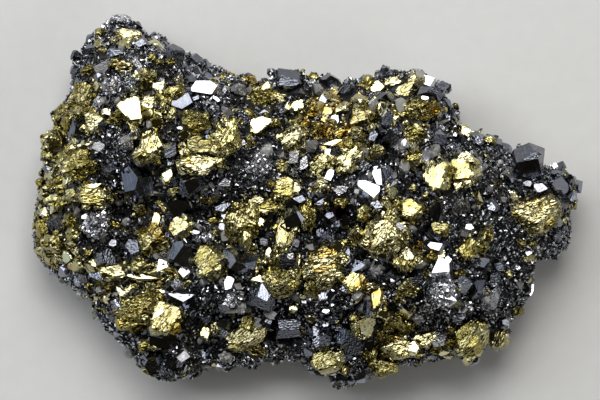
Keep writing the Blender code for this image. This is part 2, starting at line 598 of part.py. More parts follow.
def evaluated_mesh(shaped: bpy.types.Object) -> bpy.types.Mesh:
    """The mesh of an object with its modifiers applied."""
    bpy.context.view_layer.update()
    graph = bpy.context.evaluated_depsgraph_get()
    return bpy.data.meshes.new_from_object(shaped.evaluated_get(graph))


def fused(crust: bpy.types.Object, crystals: bpy.types.Collection) -> None:
    """Joins the crystals to the crust as one closed body, centred over the origin."""
    union = crust.modifiers.new("grown_together", "BOOLEAN")
    union.operation = "UNION"
    union.operand_type = "COLLECTION"
    union.collection = crystals
    union.solver = "EXACT"
    union.material_mode = "TRANSFER"
    data = evaluated_mesh(crust)
    crust.modifiers.clear()
    mesh = bmesh.new()
    mesh.from_mesh(data)
    bmesh.ops.triangulate(mesh, faces=mesh.faces)
    bmesh.ops.remove_doubles(mesh, verts=mesh.verts, dist=WELD)
    keep_largest_shell(mesh)
    middle = [
        (min(vert.co[i] for vert in mesh.verts) + max(vert.co[i] for vert in mesh.verts)) / 2
        for i in range(2)
    ]
    bmesh.ops.translate(mesh, vec=(-middle[0], -middle[1], 0.0), verts=mesh.verts)
    mesh.to_mesh(data)
    mesh.free()
    crust.data = data

    slivers = crust.modifiers.new("without_slivers", "DECIMATE")
    slivers.ratio = KEPT_TRIANGLES / len(data.polygons)
    slivers.use_collapse_triangulate = True


def main() -> None:
    """Builds the crust, grows its crystals and fuses them."""
    for old in list(bpy.data.objects):
        bpy.data.objects.remove(old, do_unlink=True)
    specimen = bpy.data.collections.new("chalcopyrite")
    crystals = bpy.data.collections.new("crystals_to_fuse")
    bpy.context.scene.collection.children.link(specimen)
    bpy.context.scene.collection.children.link(crystals)
    for mineral in ORE_COLOURS:
        ore_material(mineral)

    crust = add_object("chalcopyrite_specimen", crust_mesh(), specimen)
    crust.data.materials.append(bpy.data.materials["ore_crust"])

    rng = random.Random(7)
    for mineral, grown in (
        ("chalcopyrite", CHALCOPYRITE),
        ("sphalerite", SPHALERITE),
        ("galena", GALENA),
        ("sphalerite", fill_crystals(random.Random(5))),
    ):
        for i, crystal in enumerate(grown):
            add_crystal(f"{mineral}_{i}", *grown_crystal(crystal, rng), mineral, crystals)
    for i in range(FLANK_COUNT):
        mineral = rng.choice(("chalcopyrite", "sphalerite"))
        add_crystal(f"flank_{i}", *flank_crystal(i, rng), mineral, crystals)
    fused(crust, crystals)


main()
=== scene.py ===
"""The looks of a chalcopyrite specimen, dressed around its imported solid.

The specimen is one natural piece: a domed crust of ore, cut flat underneath, that is covered
with brassy chalcopyrite crystals, black sphalerite, silvery galena and grains of quartz. Each
mineral is gathered into a few joined meshes that ride with the solid and stand for it.

The plan is the view from straight above. Positions in it are millimetres from the middle of
the specimen, x to the right and y away from the foot, and +Z is up from the flat cut.
"""

import logging
import math
from dataclasses import dataclass, field
from enum import Enum
from functools import cache
from typing import Any, Iterable, NamedTuple

import bmesh
import bpy
import numpy as np
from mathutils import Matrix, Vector, noise
from mathutils.bvhtree import BVHTree


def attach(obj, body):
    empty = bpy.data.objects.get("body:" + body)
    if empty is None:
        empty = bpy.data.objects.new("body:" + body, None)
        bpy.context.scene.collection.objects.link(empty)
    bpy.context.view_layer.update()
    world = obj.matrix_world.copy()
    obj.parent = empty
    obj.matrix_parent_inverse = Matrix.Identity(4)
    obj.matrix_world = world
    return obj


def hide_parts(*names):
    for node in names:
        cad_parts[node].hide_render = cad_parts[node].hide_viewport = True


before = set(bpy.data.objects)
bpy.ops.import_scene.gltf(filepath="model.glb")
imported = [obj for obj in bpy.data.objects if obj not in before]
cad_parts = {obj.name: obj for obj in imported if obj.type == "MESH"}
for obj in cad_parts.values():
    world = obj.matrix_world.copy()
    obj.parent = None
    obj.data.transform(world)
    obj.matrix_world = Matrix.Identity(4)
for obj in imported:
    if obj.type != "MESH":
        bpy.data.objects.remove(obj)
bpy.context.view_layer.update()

log = logging.getLogger("chalcopyrite")

MM = 0.001
NODE = "chalcopyrite_specimen"

Array = np.ndarray
Draws = np.random.Generator
Colour = tuple[float, float, float]
# The unit normal of a face of a crystal form, and the face's distance from the middle
Plane = tuple[Array, float]


class Facing(Enum):
    """Where a crystal's broad face leans: the plan bearing and the tilt from level, in degrees."""

    KEY = (90.0, 19.0)
    LEFT = (150.0, 24.0)
    TOP = (60.0, 6.0)
    FRONT = (-75.0, 27.0)
    RIGHT = (10.0, 26.0)


class Skin(Enum):
    """The relief of a chalcopyrite crystal's faces."""

    SMOOTH = "smooth"
    SATIN = "satin"
    GRANULAR = "granular"
    STRIATED = "striated"
    BLADED = "bladed"
    FANNED = "fanned"


class Habit(Enum):
    """The form of a plane-faced crystal."""

    PYRAMID = "pyramid"
    LUMP = "lump"
    TABLET = "tablet"
    CLEAVED = "cleaved"
    ROUGH = "rough"
    GRAIN = "grain"


# Short names of the choices, for the lists below
KEY, LEFT, TOP, FRONT, RIGHT = Facing
SMOOTH, SATIN, GRANULAR, STRIATED, BLADED, FANNED = Skin
PYRAMID, LUMP, TABLET, CLEAVED, ROUGH, GRAIN = Habit


class Site(NamedTuple):
    """A crystal seen in the plan: its middle, length, width and the bearing of its long axis."""

    x: float
    y: float
    length: float
    width: float
    turn: float
    facing: Facing = TOP
    form: Skin | Habit = GRAIN


class Patch(NamedTuple):
    """A stretch of the plan: its middle, half sizes and how far it moves the outline, in mm."""

    x: float
    y: float
    across: float
    along: float
    move_x: float = 0.0
    move_y: float = 0.0

    def away(self, points: Array) -> Array:
        """The square of each point's distance from the middle, which is 1 at the edge."""
        away = ((points[:, 0] - self.x) / self.across) ** 2
        return away + ((points[:, 1] - self.y) / self.along) ** 2


def each(kind: type, *rows: tuple) -> tuple:
    """One of a kind for each row of its values."""
    return tuple(kind(*row) for row in rows)


# The chalcopyrite crystals that are told apart in the plan, in mm and degrees
GOLD_SITES = each(
    Site,
    (-35.0, 33.8, 4.4, 2.2, -15, KEY, STRIATED), (-40.2, 33.8, 2.0, 1.6, 0, FRONT, GRANULAR),
    (-39.6, 30.4, 1.6, 1.2, 0, LEFT, GRANULAR), (-37.2, 28.0, 2.8, 2.0, 20, TOP, GRANULAR),
    (-29.8, 28.4, 1.6, 1.2, 30, LEFT, GRANULAR), (-28.4, 27.8, 1.6, 1.2, -20, LEFT, GRANULAR),
    (-42.4, 26.0, 2.8, 2.0, 0, FRONT, GRANULAR), (-43.6, 21.6, 4.8, 4.4, 70, LEFT, GRANULAR),
    (-32.8, 25.2, 1.8, 1.6, 0, KEY, SMOOTH), (-30.8, 23.4, 4.4, 3.6, 80, FRONT, GRANULAR),
    (-33.6, 18.8, 5.4, 4.4, -40, KEY, SMOOTH), (-26.0, 28.0, 2.0, 1.4, 0, FRONT, GRANULAR),
    (-25.4, 22.0, 3.4, 2.2, 15, KEY, GRANULAR), (-16.0, 25.0, 1.8, 1.2, 0, KEY, GRANULAR),
    (-11.2, 24.6, 3.2, 1.2, 10, LEFT, GRANULAR), (-9.6, 23.6, 2.0, 1.6, 0, TOP, GRANULAR),
    (-7.2, 22.8, 2.4, 1.8, 30, KEY, SMOOTH), (-8.0, 20.8, 6.8, 3.6, 5, TOP, GRANULAR),
    (-1.0, 19.4, 2.8, 2.6, 20, KEY, SMOOTH), (2.0, 24.8, 2.4, 2.4, 0, FRONT, GRANULAR),
    (6.6, 22.0, 1.8, 1.6, 0, LEFT, GRANULAR), (12.6, 23.6, 3.2, 2.4, 80, LEFT, GRANULAR),
    (15.2, 23.0, 3.0, 2.4, 0, KEY, SMOOTH), (18.2, 24.0, 3.2, 1.6, 15, KEY, STRIATED),
    (20.0, 22.2, 7.2, 4.6, 35, LEFT, BLADED), (-48.0, 17.8, 3.6, 2.8, 30, LEFT, GRANULAR),
    (-45.8, 15.4, 3.6, 3.2, 80, FRONT, GRANULAR), (-42.0, 16.0, 4.4, 4.0, 0, LEFT, FANNED),
    (-48.4, 13.8, 3.2, 2.8, 20, KEY, GRANULAR), (-38.8, 17.8, 2.0, 1.6, 0, KEY, SMOOTH),
    (-36.8, 16.4, 3.2, 2.0, 10, FRONT, GRANULAR), (-49.4, 11.2, 4.0, 4.0, 0, FRONT, STRIATED),
    (-44.4, 8.4, 6.8, 4.8, 10, LEFT, GRANULAR), (-52.4, 3.8, 1.8, 1.8, 0, KEY, GRANULAR),
    (-48.4, 3.0, 1.8, 1.4, 0, KEY, GRANULAR), (-41.4, 3.2, 2.8, 1.6, 10, KEY, SMOOTH),
    (-41.8, 1.0, 5.2, 4.4, 0, TOP, STRIATED), (-30.0, 11.4, 6.8, 4.8, 80, KEY, BLADED),
    (-21.4, 16.0, 5.2, 4.0, 10, TOP, GRANULAR), (-19.8, 16.6, 1.4, 1.2, 0, KEY, SMOOTH),
    (-15.0, 13.4, 6.4, 4.8, 65, KEY, FANNED), (-8.8, 15.4, 6.0, 2.8, 22, KEY, SMOOTH),
    (-20.4, 11.2, 6.0, 2.8, -5, LEFT, STRIATED), (-20.4, 8.0, 8.0, 3.6, 5, KEY, FANNED),
    (-2.4, 12.8, 4.8, 4.0, 30, LEFT, BLADED), (-0.4, 16.8, 1.8, 1.6, 0, KEY, GRANULAR),
    (-5.4, 15.4, 2.8, 2.0, 0, FRONT, GRANULAR), (-26.6, 5.4, 2.8, 2.4, 60, KEY, SMOOTH),
    (-25.4, 2.4, 2.4, 2.0, 0, LEFT, GRANULAR), (-3.6, 3.0, 4.8, 4.4, 20, KEY, STRIATED),
    (5.0, 18.2, 2.6, 1.6, 20, KEY, SMOOTH), (1.6, 17.4, 1.8, 1.6, 0, LEFT, GRANULAR),
    (2.8, 15.2, 1.6, 1.6, 0, TOP, GRANULAR), (4.4, 16.4, 1.4, 1.4, 0, KEY, SMOOTH),
    (3.2, 13.2, 4.0, 2.8, 0, FRONT, GRANULAR), (7.6, 13.6, 3.2, 2.4, 30, TOP, GRANULAR),
    (11.0, 17.0, 4.8, 4.8, 0, LEFT, GRANULAR), (18.6, 16.6, 1.6, 1.4, 0, KEY, SMOOTH),
    (23.2, 17.6, 6.8, 4.0, 10, FRONT, GRANULAR), (22.6, 14.0, 3.2, 2.8, 0, LEFT, GRANULAR),
    (6.2, 11.8, 3.6, 1.2, 10, KEY, SMOOTH), (9.0, 8.8, 5.6, 4.0, 45, KEY, BLADED),
    (3.2, 7.4, 3.6, 2.8, 60, LEFT, FANNED), (22.0, 8.8, 3.4, 2.6, 10, KEY, GRANULAR),
    (26.4, 5.4, 5.6, 4.8, 80, LEFT, SATIN), (31.2, 6.4, 6.0, 5.6, 20, LEFT, SATIN),
    (22.0, 2.8, 1.8, 1.4, 0, LEFT, GRANULAR), (24.4, 1.2, 1.8, 1.6, 0, KEY, GRANULAR),
    (33.6, 14.2, 4.4, 1.6, 15, KEY, STRIATED), (37.6, 12.4, 2.4, 1.8, -20, LEFT, STRIATED),
    (32.0, 4.0, 3.2, 1.8, 0, KEY, GRANULAR), (46.4, -2.0, 8.4, 6.4, 20, TOP, GRANULAR),
    (-52.0, -4.6, 4.0, 2.8, 90, LEFT, GRANULAR), (-46.0, -4.0, 3.2, 2.8, 80, FRONT, GRANULAR),
    (-49.4, -7.6, 3.6, 3.6, 0, KEY, GRANULAR), (-37.4, -4.6, 2.4, 2.0, 0, FRONT, GRANULAR),
    (-31.8, -1.6, 2.8, 2.8, 0, FRONT, GRANULAR), (-29.0, -3.8, 4.0, 1.8, 85, KEY, SMOOTH),
    (-30.4, -7.2, 6.0, 4.4, 10, LEFT, GRANULAR), (-46.4, -9.4, 1.6, 1.6, 0, LEFT, GRANULAR),
    (-44.8, -11.2, 1.6, 1.4, 0, LEFT, GRANULAR), (-42.8, -10.2, 1.6, 1.4, 0, KEY, GRANULAR),
    (-37.6, -13.8, 4.4, 2.8, 0, KEY, STRIATED), (-33.4, -12.0, 6.0, 2.8, -5, LEFT, BLADED),
    (-30.4, -13.2, 5.2, 2.4, 0, LEFT, BLADED), (-32.0, -14.8, 6.8, 1.2, -3, KEY, SMOOTH),
    (-38.4, -16.6, 3.6, 2.6, 10, FRONT, GRANULAR), (-33.6, -16.8, 2.0, 1.4, 0, KEY, GRANULAR),
    (-28.4, -16.4, 2.4, 2.0, 0, LEFT, GRANULAR), (-24.4, -4.8, 4.4, 3.6, 30, LEFT, SATIN),
    (-17.8, -3.6, 1.8, 1.6, 0, KEY, GRANULAR), (-11.4, -3.6, 7.6, 6.0, 80, TOP, GRANULAR),
    (-6.2, -0.6, 4.8, 2.8, 10, KEY, STRIATED), (-8.4, -4.0, 2.2, 1.8, 0, KEY, SMOOTH),
    (-3.8, -6.0, 6.8, 4.4, 80, LEFT, BLADED), (-3.0, -4.8, 2.2, 1.6, 0, KEY, SMOOTH),
    (-3.4, -8.2, 2.6, 1.6, -10, KEY, SMOOTH), (-18.8, -11.6, 5.6, 5.4, 45, LEFT, STRIATED),
    (-16.0, -13.2, 3.2, 2.8, 0, LEFT, GRANULAR), (-6.6, -10.0, 2.4, 1.2, 85, KEY, SMOOTH),
    (-8.8, -15.2, 3.0, 2.0, 0, KEY, SMOOTH), (-4.8, -15.2, 6.4, 5.2, 15, LEFT, GRANULAR),
    (-1.0, -11.4, 3.0, 1.6, 85, LEFT, SMOOTH), (1.4, -2.4, 5.2, 2.8, 85, TOP, GRANULAR),
    (12.0, -1.8, 3.2, 2.4, 80, LEFT, GRANULAR), (16.6, -2.4, 2.0, 1.6, 0, KEY, SMOOTH),
    (15.8, -5.8, 8.0, 7.0, 80, TOP, FANNED), (20.6, -10.2, 5.0, 4.6, 30, KEY, FANNED),
    (22.2, -10.0, 2.8, 2.4, 0, LEFT, FANNED), (21.8, -1.2, 3.6, 3.2, 0, KEY, STRIATED),
    (27.0, -5.0, 3.6, 2.8, -10, LEFT, STRIATED), (10.2, -8.4, 1.6, 1.4, 0, KEY, GRANULAR),
    (4.6, -12.0, 7.6, 6.4, 10, TOP, BLADED), (25.8, -10.8, 2.8, 2.4, 0, TOP, GRANULAR),
    (24.6, -14.6, 2.8, 2.4, 0, FRONT, GRANULAR), (1.8, -16.8, 3.6, 2.6, 80, LEFT, GRANULAR),
    (10.2, -15.6, 4.0, 3.6, 50, KEY, STRIATED), (14.8, -18.8, 5.6, 2.0, 85, LEFT, SMOOTH),
    (21.2, -17.6, 3.6, 3.2, 0, FRONT, GRANULAR), (32.8, -9.0, 4.4, 3.6, 50, KEY, GRANULAR),
    (35.8, -9.4, 2.8, 2.4, 0, FRONT, GRANULAR), (43.6, -8.2, 1.8, 1.6, 0, LEFT, GRANULAR),
    (46.0, -8.4, 1.8, 1.4, 0, LEFT, GRANULAR), (30.8, -14.4, 2.8, 2.4, 0, LEFT, GRANULAR),
    (41.2, -14.4, 1.8, 1.4, 0, LEFT, GRANULAR), (-33.8, -21.6, 6.8, 5.6, 15, TOP, GRANULAR),
    (-27.4, -22.6, 6.0, 5.6, 50, KEY, STRIATED), (-28.8, -22.2, 4.0, 1.2, 45, KEY, SMOOTH),
    (-29.4, -28.6, 2.0, 1.6, 0, LEFT, GRANULAR), (-31.4, -29.0, 2.4, 1.8, 0, FRONT, GRANULAR),
    (-19.4, -26.2, 2.4, 1.8, 85, KEY, SMOOTH), (-11.0, -23.6, 3.6, 2.2, 80, LEFT, GRANULAR),
    (-11.4, -26.6, 6.8, 4.0, 30, LEFT, STRIATED), (-1.8, -21.2, 1.8, 1.8, 0, KEY, SMOOTH),
    (-9.4, -30.0, 4.0, 2.8, 0, FRONT, GRANULAR), (13.0, -24.8, 5.2, 4.0, 10, RIGHT, SATIN),
    (18.0, -23.2, 4.0, 4.0, 0, LEFT, GRANULAR), (19.0, -26.6, 2.8, 2.0, 10, KEY, SMOOTH),
    (19.6, -28.6, 5.2, 3.6, 15, KEY, STRIATED), (22.4, -29.4, 2.4, 2.4, 0, KEY, SMOOTH),
    (24.8, -27.2, 4.0, 2.8, 15, KEY, SATIN), (26.6, -29.4, 2.4, 1.8, 0, LEFT, GRANULAR),
    (14.6, -29.6, 2.4, 2.0, 80, KEY, GRANULAR), (17.0, -30.2, 2.8, 1.6, 0, KEY, GRANULAR),
    (16.2, -32.6, 4.8, 3.2, 5, LEFT, GRANULAR), (4.2, -31.4, 6.0, 4.4, 20, LEFT, STRIATED),
    (8.4, -33.4, 2.4, 2.0, 80, TOP, GRANULAR), (33.0, -26.8, 6.4, 5.2, 50, LEFT, STRIATED),
    (39.0, -27.2, 4.4, 3.6, 70, LEFT, STRIATED), (43.2, -22.0, 2.8, 2.0, 0, FRONT, GRANULAR),
)
# The sphalerite crystals
DARK_SITES = each(
    Site,
    (-43.2, 33.4, 1.8, 1.4, 10, LEFT, PYRAMID), (-45.8, 29.6, 2.0, 1.8, 60, LEFT, LUMP),
    (-37.0, 29.8, 2.4, 1.6, 0, TOP, TABLET), (-23.4, 21.4, 2.4, 1.8, 0, FRONT, TABLET),
    (-12.8, 22.0, 2.8, 2.8, 30, TOP, PYRAMID), (-2.4, 23.2, 5.6, 4.4, 10, FRONT, LUMP),
    (5.0, 24.2, 3.6, 2.8, 20, LEFT, PYRAMID), (9.2, 22.0, 3.6, 3.2, 50, TOP, PYRAMID),
    (16.6, 26.4, 2.0, 1.6, 0, LEFT, PYRAMID), (26.4, 22.0, 4.0, 2.2, 0, FRONT, TABLET),
    (18.2, 21.0, 1.6, 1.4, 0, FRONT, TABLET), (-44.8, 14.4, 3.2, 2.4, 80, FRONT, TABLET),
    (-32.2, 4.8, 6.2, 5.6, 100, TOP, PYRAMID), (-24.0, 19.0, 4.8, 3.6, 0, FRONT, PYRAMID),
    (15.8, 16.2, 3.8, 3.6, 30, LEFT, PYRAMID), (14.2, 12.4, 2.8, 2.4, 30, FRONT, PYRAMID),
    (16.6, 12.4, 2.8, 2.4, 60, LEFT, PYRAMID), (25.8, 15.2, 1.8, 1.6, 0, LEFT, PYRAMID),
    (-21.8, 3.4, 4.4, 4.0, 90, FRONT, TABLET), (-18.8, 9.8, 3.2, 1.2, 0, FRONT, TABLET),
    (35.2, 12.0, 3.2, 2.4, 10, FRONT, LUMP), (45.2, 6.8, 6.0, 5.0, 70, FRONT, TABLET),
    (51.0, 3.0, 4.8, 3.6, 10, RIGHT, LUMP), (52.2, -0.2, 2.8, 2.4, 30, RIGHT, LUMP),
    (-49.0, -3.4, 4.0, 3.6, 30, LEFT, PYRAMID), (-35.8, -8.6, 2.0, 1.8, 0, LEFT, PYRAMID),
    (-32.8, -9.8, 4.0, 4.0, 60, RIGHT, PYRAMID), (-40.0, -10.6, 3.6, 3.2, 10, LEFT, PYRAMID),
    (-24.8, -1.0, 4.8, 3.2, 20, FRONT, TABLET), (-16.0, -1.6, 4.8, 3.6, 20, FRONT, PYRAMID),
    (-6.4, -3.6, 3.4, 2.2, 85, FRONT, TABLET), (-1.8, -3.8, 4.8, 3.6, 65, FRONT, TABLET),
    (-23.8, -9.2, 5.6, 4.8, 80, TOP, PYRAMID), (-8.0, -7.6, 2.0, 2.0, 0, LEFT, PYRAMID),
    (-1.8, -14.6, 2.0, 1.8, 40, FRONT, PYRAMID), (8.6, -11.4, 4.0, 2.4, 80, LEFT, TABLET),
    (11.2, -10.2, 2.4, 2.4, 0, FRONT, PYRAMID), (11.6, -12.4, 3.6, 2.6, 20, LEFT, TABLET),
    (17.6, -13.8, 3.8, 3.6, 40, LEFT, PYRAMID), (22.0, -15.0, 3.0, 2.8, 0, LEFT, PYRAMID),
    (26.4, -1.8, 3.4, 2.8, 80, FRONT, TABLET), (4.8, -16.2, 2.8, 2.4, 20, FRONT, PYRAMID),
    (35.4, -12.6, 2.8, 2.4, 60, FRONT, PYRAMID), (38.8, -12.6, 2.4, 2.0, 0, LEFT, PYRAMID),
    (38.0, -14.8, 2.4, 2.2, 0, LEFT, PYRAMID), (34.8, -17.8, 3.6, 2.6, 85, FRONT, PYRAMID),
    (-15.4, -24.0, 2.4, 2.4, 0, FRONT, LUMP), (-6.8, -24.2, 3.2, 3.0, 40, FRONT, LUMP),
    (-2.8, -24.6, 6.0, 4.0, 5, TOP, TABLET), (9.2, -26.8, 5.6, 5.2, 85, TOP, PYRAMID),
    (-29.4, -31.6, 4.0, 3.6, 30, TOP, PYRAMID), (-24.0, -19.4, 5.4, 4.4, 0, FRONT, PYRAMID),
    (40.2, -23.8, 2.0, 1.8, 0, LEFT, PYRAMID), (-15.8, -30.6, 1.6, 1.4, 0, RIGHT, LUMP),
    (6.6, -25.0, 2.0, 1.8, 0, LEFT, PYRAMID), (10.0, -35.8, 1.6, 1.4, 30, FRONT, PYRAMID),
    (8.0, -35.0, 2.0, 1.6, 0, TOP, PYRAMID), (6.8, -4.0, 2.0, 1.6, 0, LEFT, PYRAMID),
    (3.2, -5.8, 2.0, 1.8, 0, LEFT, PYRAMID), (3.4, -2.8, 2.2, 1.8, 0, LEFT, PYRAMID),
    (7.2, -6.8, 2.4, 2.0, 0, TOP, PYRAMID), (53.4, 4.4, 2.6, 2.4, 20, RIGHT, LUMP),
    (54.0, 1.2, 2.2, 2.0, 70, RIGHT, LUMP), (38.8, 11.6, 2.6, 2.0, -20, FRONT, LUMP),
    (41.2, 10.4, 2.6, 2.2, -20, FRONT, LUMP), (50.8, 5.2, 2.4, 2.0, 0, LEFT, PYRAMID),
    (52.2, 6.8, 2.0, 1.6, 30, FRONT, LUMP), (-7.6, -18.8, 6.0, 4.6, 10, FRONT, LUMP),
    (-27.0, -27.8, 5.6, 3.2, 0, FRONT, TABLET), (-12.8, -11.4, 5.6, 3.8, -20, LEFT, LUMP),
)
# The red-brown sphalerite crystals
RED_SITES = each(
    Site,
    (7.2, -1.6, 3.0, 2.6, 20, TOP, LUMP), (33.6, 8.4, 2.0, 1.8, 0, RIGHT, PYRAMID),
)
# The galena crystals
SILVER_SITES = each(
    Site,
    (-36.2, 37.0, 3.2, 1.2, 0, TOP, CLEAVED), (-32.8, 27.6, 2.8, 1.6, -60, TOP, CLEAVED),
    (-37.6, 23.0, 4.4, 3.6, 10, TOP, ROUGH), (-19.4, 22.6, 5.4, 2.4, 0, KEY, CLEAVED),
    (-17.2, 24.4, 1.4, 1.0, 0, TOP, CLEAVED), (-15.6, 22.2, 1.4, 1.4, 0, TOP, CLEAVED),
    (-17.0, 20.4, 1.5, 0.8, -40, KEY, CLEAVED), (24.8, 24.2, 3.0, 2.0, -20, KEY, CLEAVED),
    (24.6, 20.8, 1.4, 1.4, 0, KEY, CLEAVED), (-24.2, 14.6, 1.0, 0.8, 0, KEY, CLEAVED),
    (-32.0, 6.0, 1.0, 1.0, 30, KEY, CLEAVED), (-41.4, -4.4, 5.2, 4.8, 20, LEFT, ROUGH),
    (-43.2, -3.0, 1.2, 1.0, 0, KEY, CLEAVED), (-39.6, -2.4, 1.2, 1.0, 0, KEY, CLEAVED),
    (-41.0, -6.2, 1.2, 1.0, 0, KEY, CLEAVED), (-27.8, -12.8, 2.8, 2.4, 30, KEY, CLEAVED),
    (-26.0, -10.2, 1.0, 1.0, 0, KEY, CLEAVED), (-23.6, -7.6, 1.5, 0.7, -30, KEY, CLEAVED),
    (-21.0, -6.0, 1.4, 1.2, 0, KEY, CLEAVED), (-14.6, -16.2, 2.6, 2.2, 80, KEY, CLEAVED),
    (-14.0, -19.4, 3.6, 2.8, 20, KEY, ROUGH), (-0.8, -1.0, 1.5, 1.4, 0, KEY, CLEAVED),
    (5.4, 5.0, 2.2, 2.0, 60, KEY, CLEAVED), (13.2, 2.6, 5.2, 2.6, -32, KEY, CLEAVED),
    (15.0, 5.0, 3.2, 2.0, 80, KEY, CLEAVED), (7.4, 2.4, 2.6, 2.0, 0, TOP, CLEAVED),
    (26.2, -8.8, 3.2, 1.6, -15, KEY, CLEAVED), (27.6, -13.2, 3.6, 3.6, 10, KEY, CLEAVED),
    (29.0, -11.6, 1.4, 1.4, 0, KEY, CLEAVED), (27.8, -17.8, 5.6, 5.2, 10, LEFT, ROUGH),
    (33.2, -5.2, 1.5, 1.4, 0, KEY, CLEAVED), (46.6, -17.8, 2.4, 1.6, 70, KEY, CLEAVED),
    (-8.8, -24.2, 2.0, 1.6, 0, TOP, CLEAVED), (-6.4, -22.4, 2.4, 1.8, 0, TOP, CLEAVED),
    (0.2, 7.8, 2.4, 1.6, 80, TOP, CLEAVED), (-1.8, 8.8, 2.0, 2.0, 0, TOP, CLEAVED),
    (-8.8, 7.4, 4.8, 4.4, 0, TOP, ROUGH), (19.0, 11.0, 1.5, 1.4, 0, TOP, CLEAVED),
    (20.4, 11.6, 1.5, 1.4, 0, LEFT, CLEAVED), (6.8, 16.4, 2.4, 2.0, 80, LEFT, CLEAVED),
    (43.4, 9.4, 1.4, 1.2, 0, KEY, CLEAVED), (42.2, 7.8, 1.5, 1.4, 0, TOP, CLEAVED),
    (47.6, 2.8, 2.2, 1.8, 0, KEY, CLEAVED), (48.8, 5.4, 1.4, 1.2, 0, LEFT, CLEAVED),
    (50.4, 5.6, 1.4, 1.2, 0, LEFT, CLEAVED), (51.0, 7.2, 1.0, 1.0, 0, KEY, CLEAVED),
    (39.0, 11.8, 2.4, 1.0, 80, LEFT, CLEAVED), (18.2, -15.4, 1.4, 1.2, 0, KEY, CLEAVED),
    (-2.4, -10.8, 1.4, 1.2, 0, TOP, CLEAVED), (-1.2, -8.2, 1.5, 1.4, 0, TOP, CLEAVED),
    (-23.2, -14.0, 2.0, 1.8, 60, LEFT, CLEAVED), (-4.2, -31.6, 1.2, 1.0, 0, KEY, CLEAVED),
    (-16.4, -33.0, 1.4, 1.0, 0, KEY, CLEAVED), (4.6, -21.8, 1.4, 1.0, 0, KEY, CLEAVED),
    (6.0, -34.2, 1.4, 1.0, 0, LEFT, CLEAVED), (30.8, 13.4, 1.0, 0.8, 0, KEY, CLEAVED),
    (36.8, -20.2, 2.8, 2.8, 0, TOP, ROUGH), (32.6, -20.8, 2.8, 2.4, 0, TOP, ROUGH),
    (-40.8, 11.0, 2.4, 2.0, 0, TOP, CLEAVED), (-40.2, 10.6, 1.5, 1.4, 0, TOP, CLEAVED),
    (-51.4, 9.0, 2.0, 1.8, 0, TOP, CLEAVED), (-15.4, 3.6, 2.4, 1.8, 0, TOP, CLEAVED),
    (-15.0, -3.0, 1.5, 1.4, 0, LEFT, CLEAVED), (-15.8, -5.0, 1.5, 1.4, 0, LEFT, CLEAVED),
    (-18.8, -7.0, 2.4, 2.0, 0, TOP, ROUGH), (-39.6, -1.0, 1.5, 1.4, 0, TOP, CLEAVED),
    (-37.4, -8.2, 1.5, 1.4, 0, LEFT, CLEAVED), (-11.8, 11.8, 1.4, 1.2, 0, TOP, CLEAVED),
    (5.0, 9.8, 1.2, 1.0, 0, KEY, CLEAVED), (45.2, 3.6, 1.5, 1.4, 0, LEFT, CLEAVED),
    (45.2, -10.2, 1.4, 1.2, 0, KEY, CLEAVED), (54.0, 5.0, 1.2, 1.0, 0, TOP, CLEAVED),
)
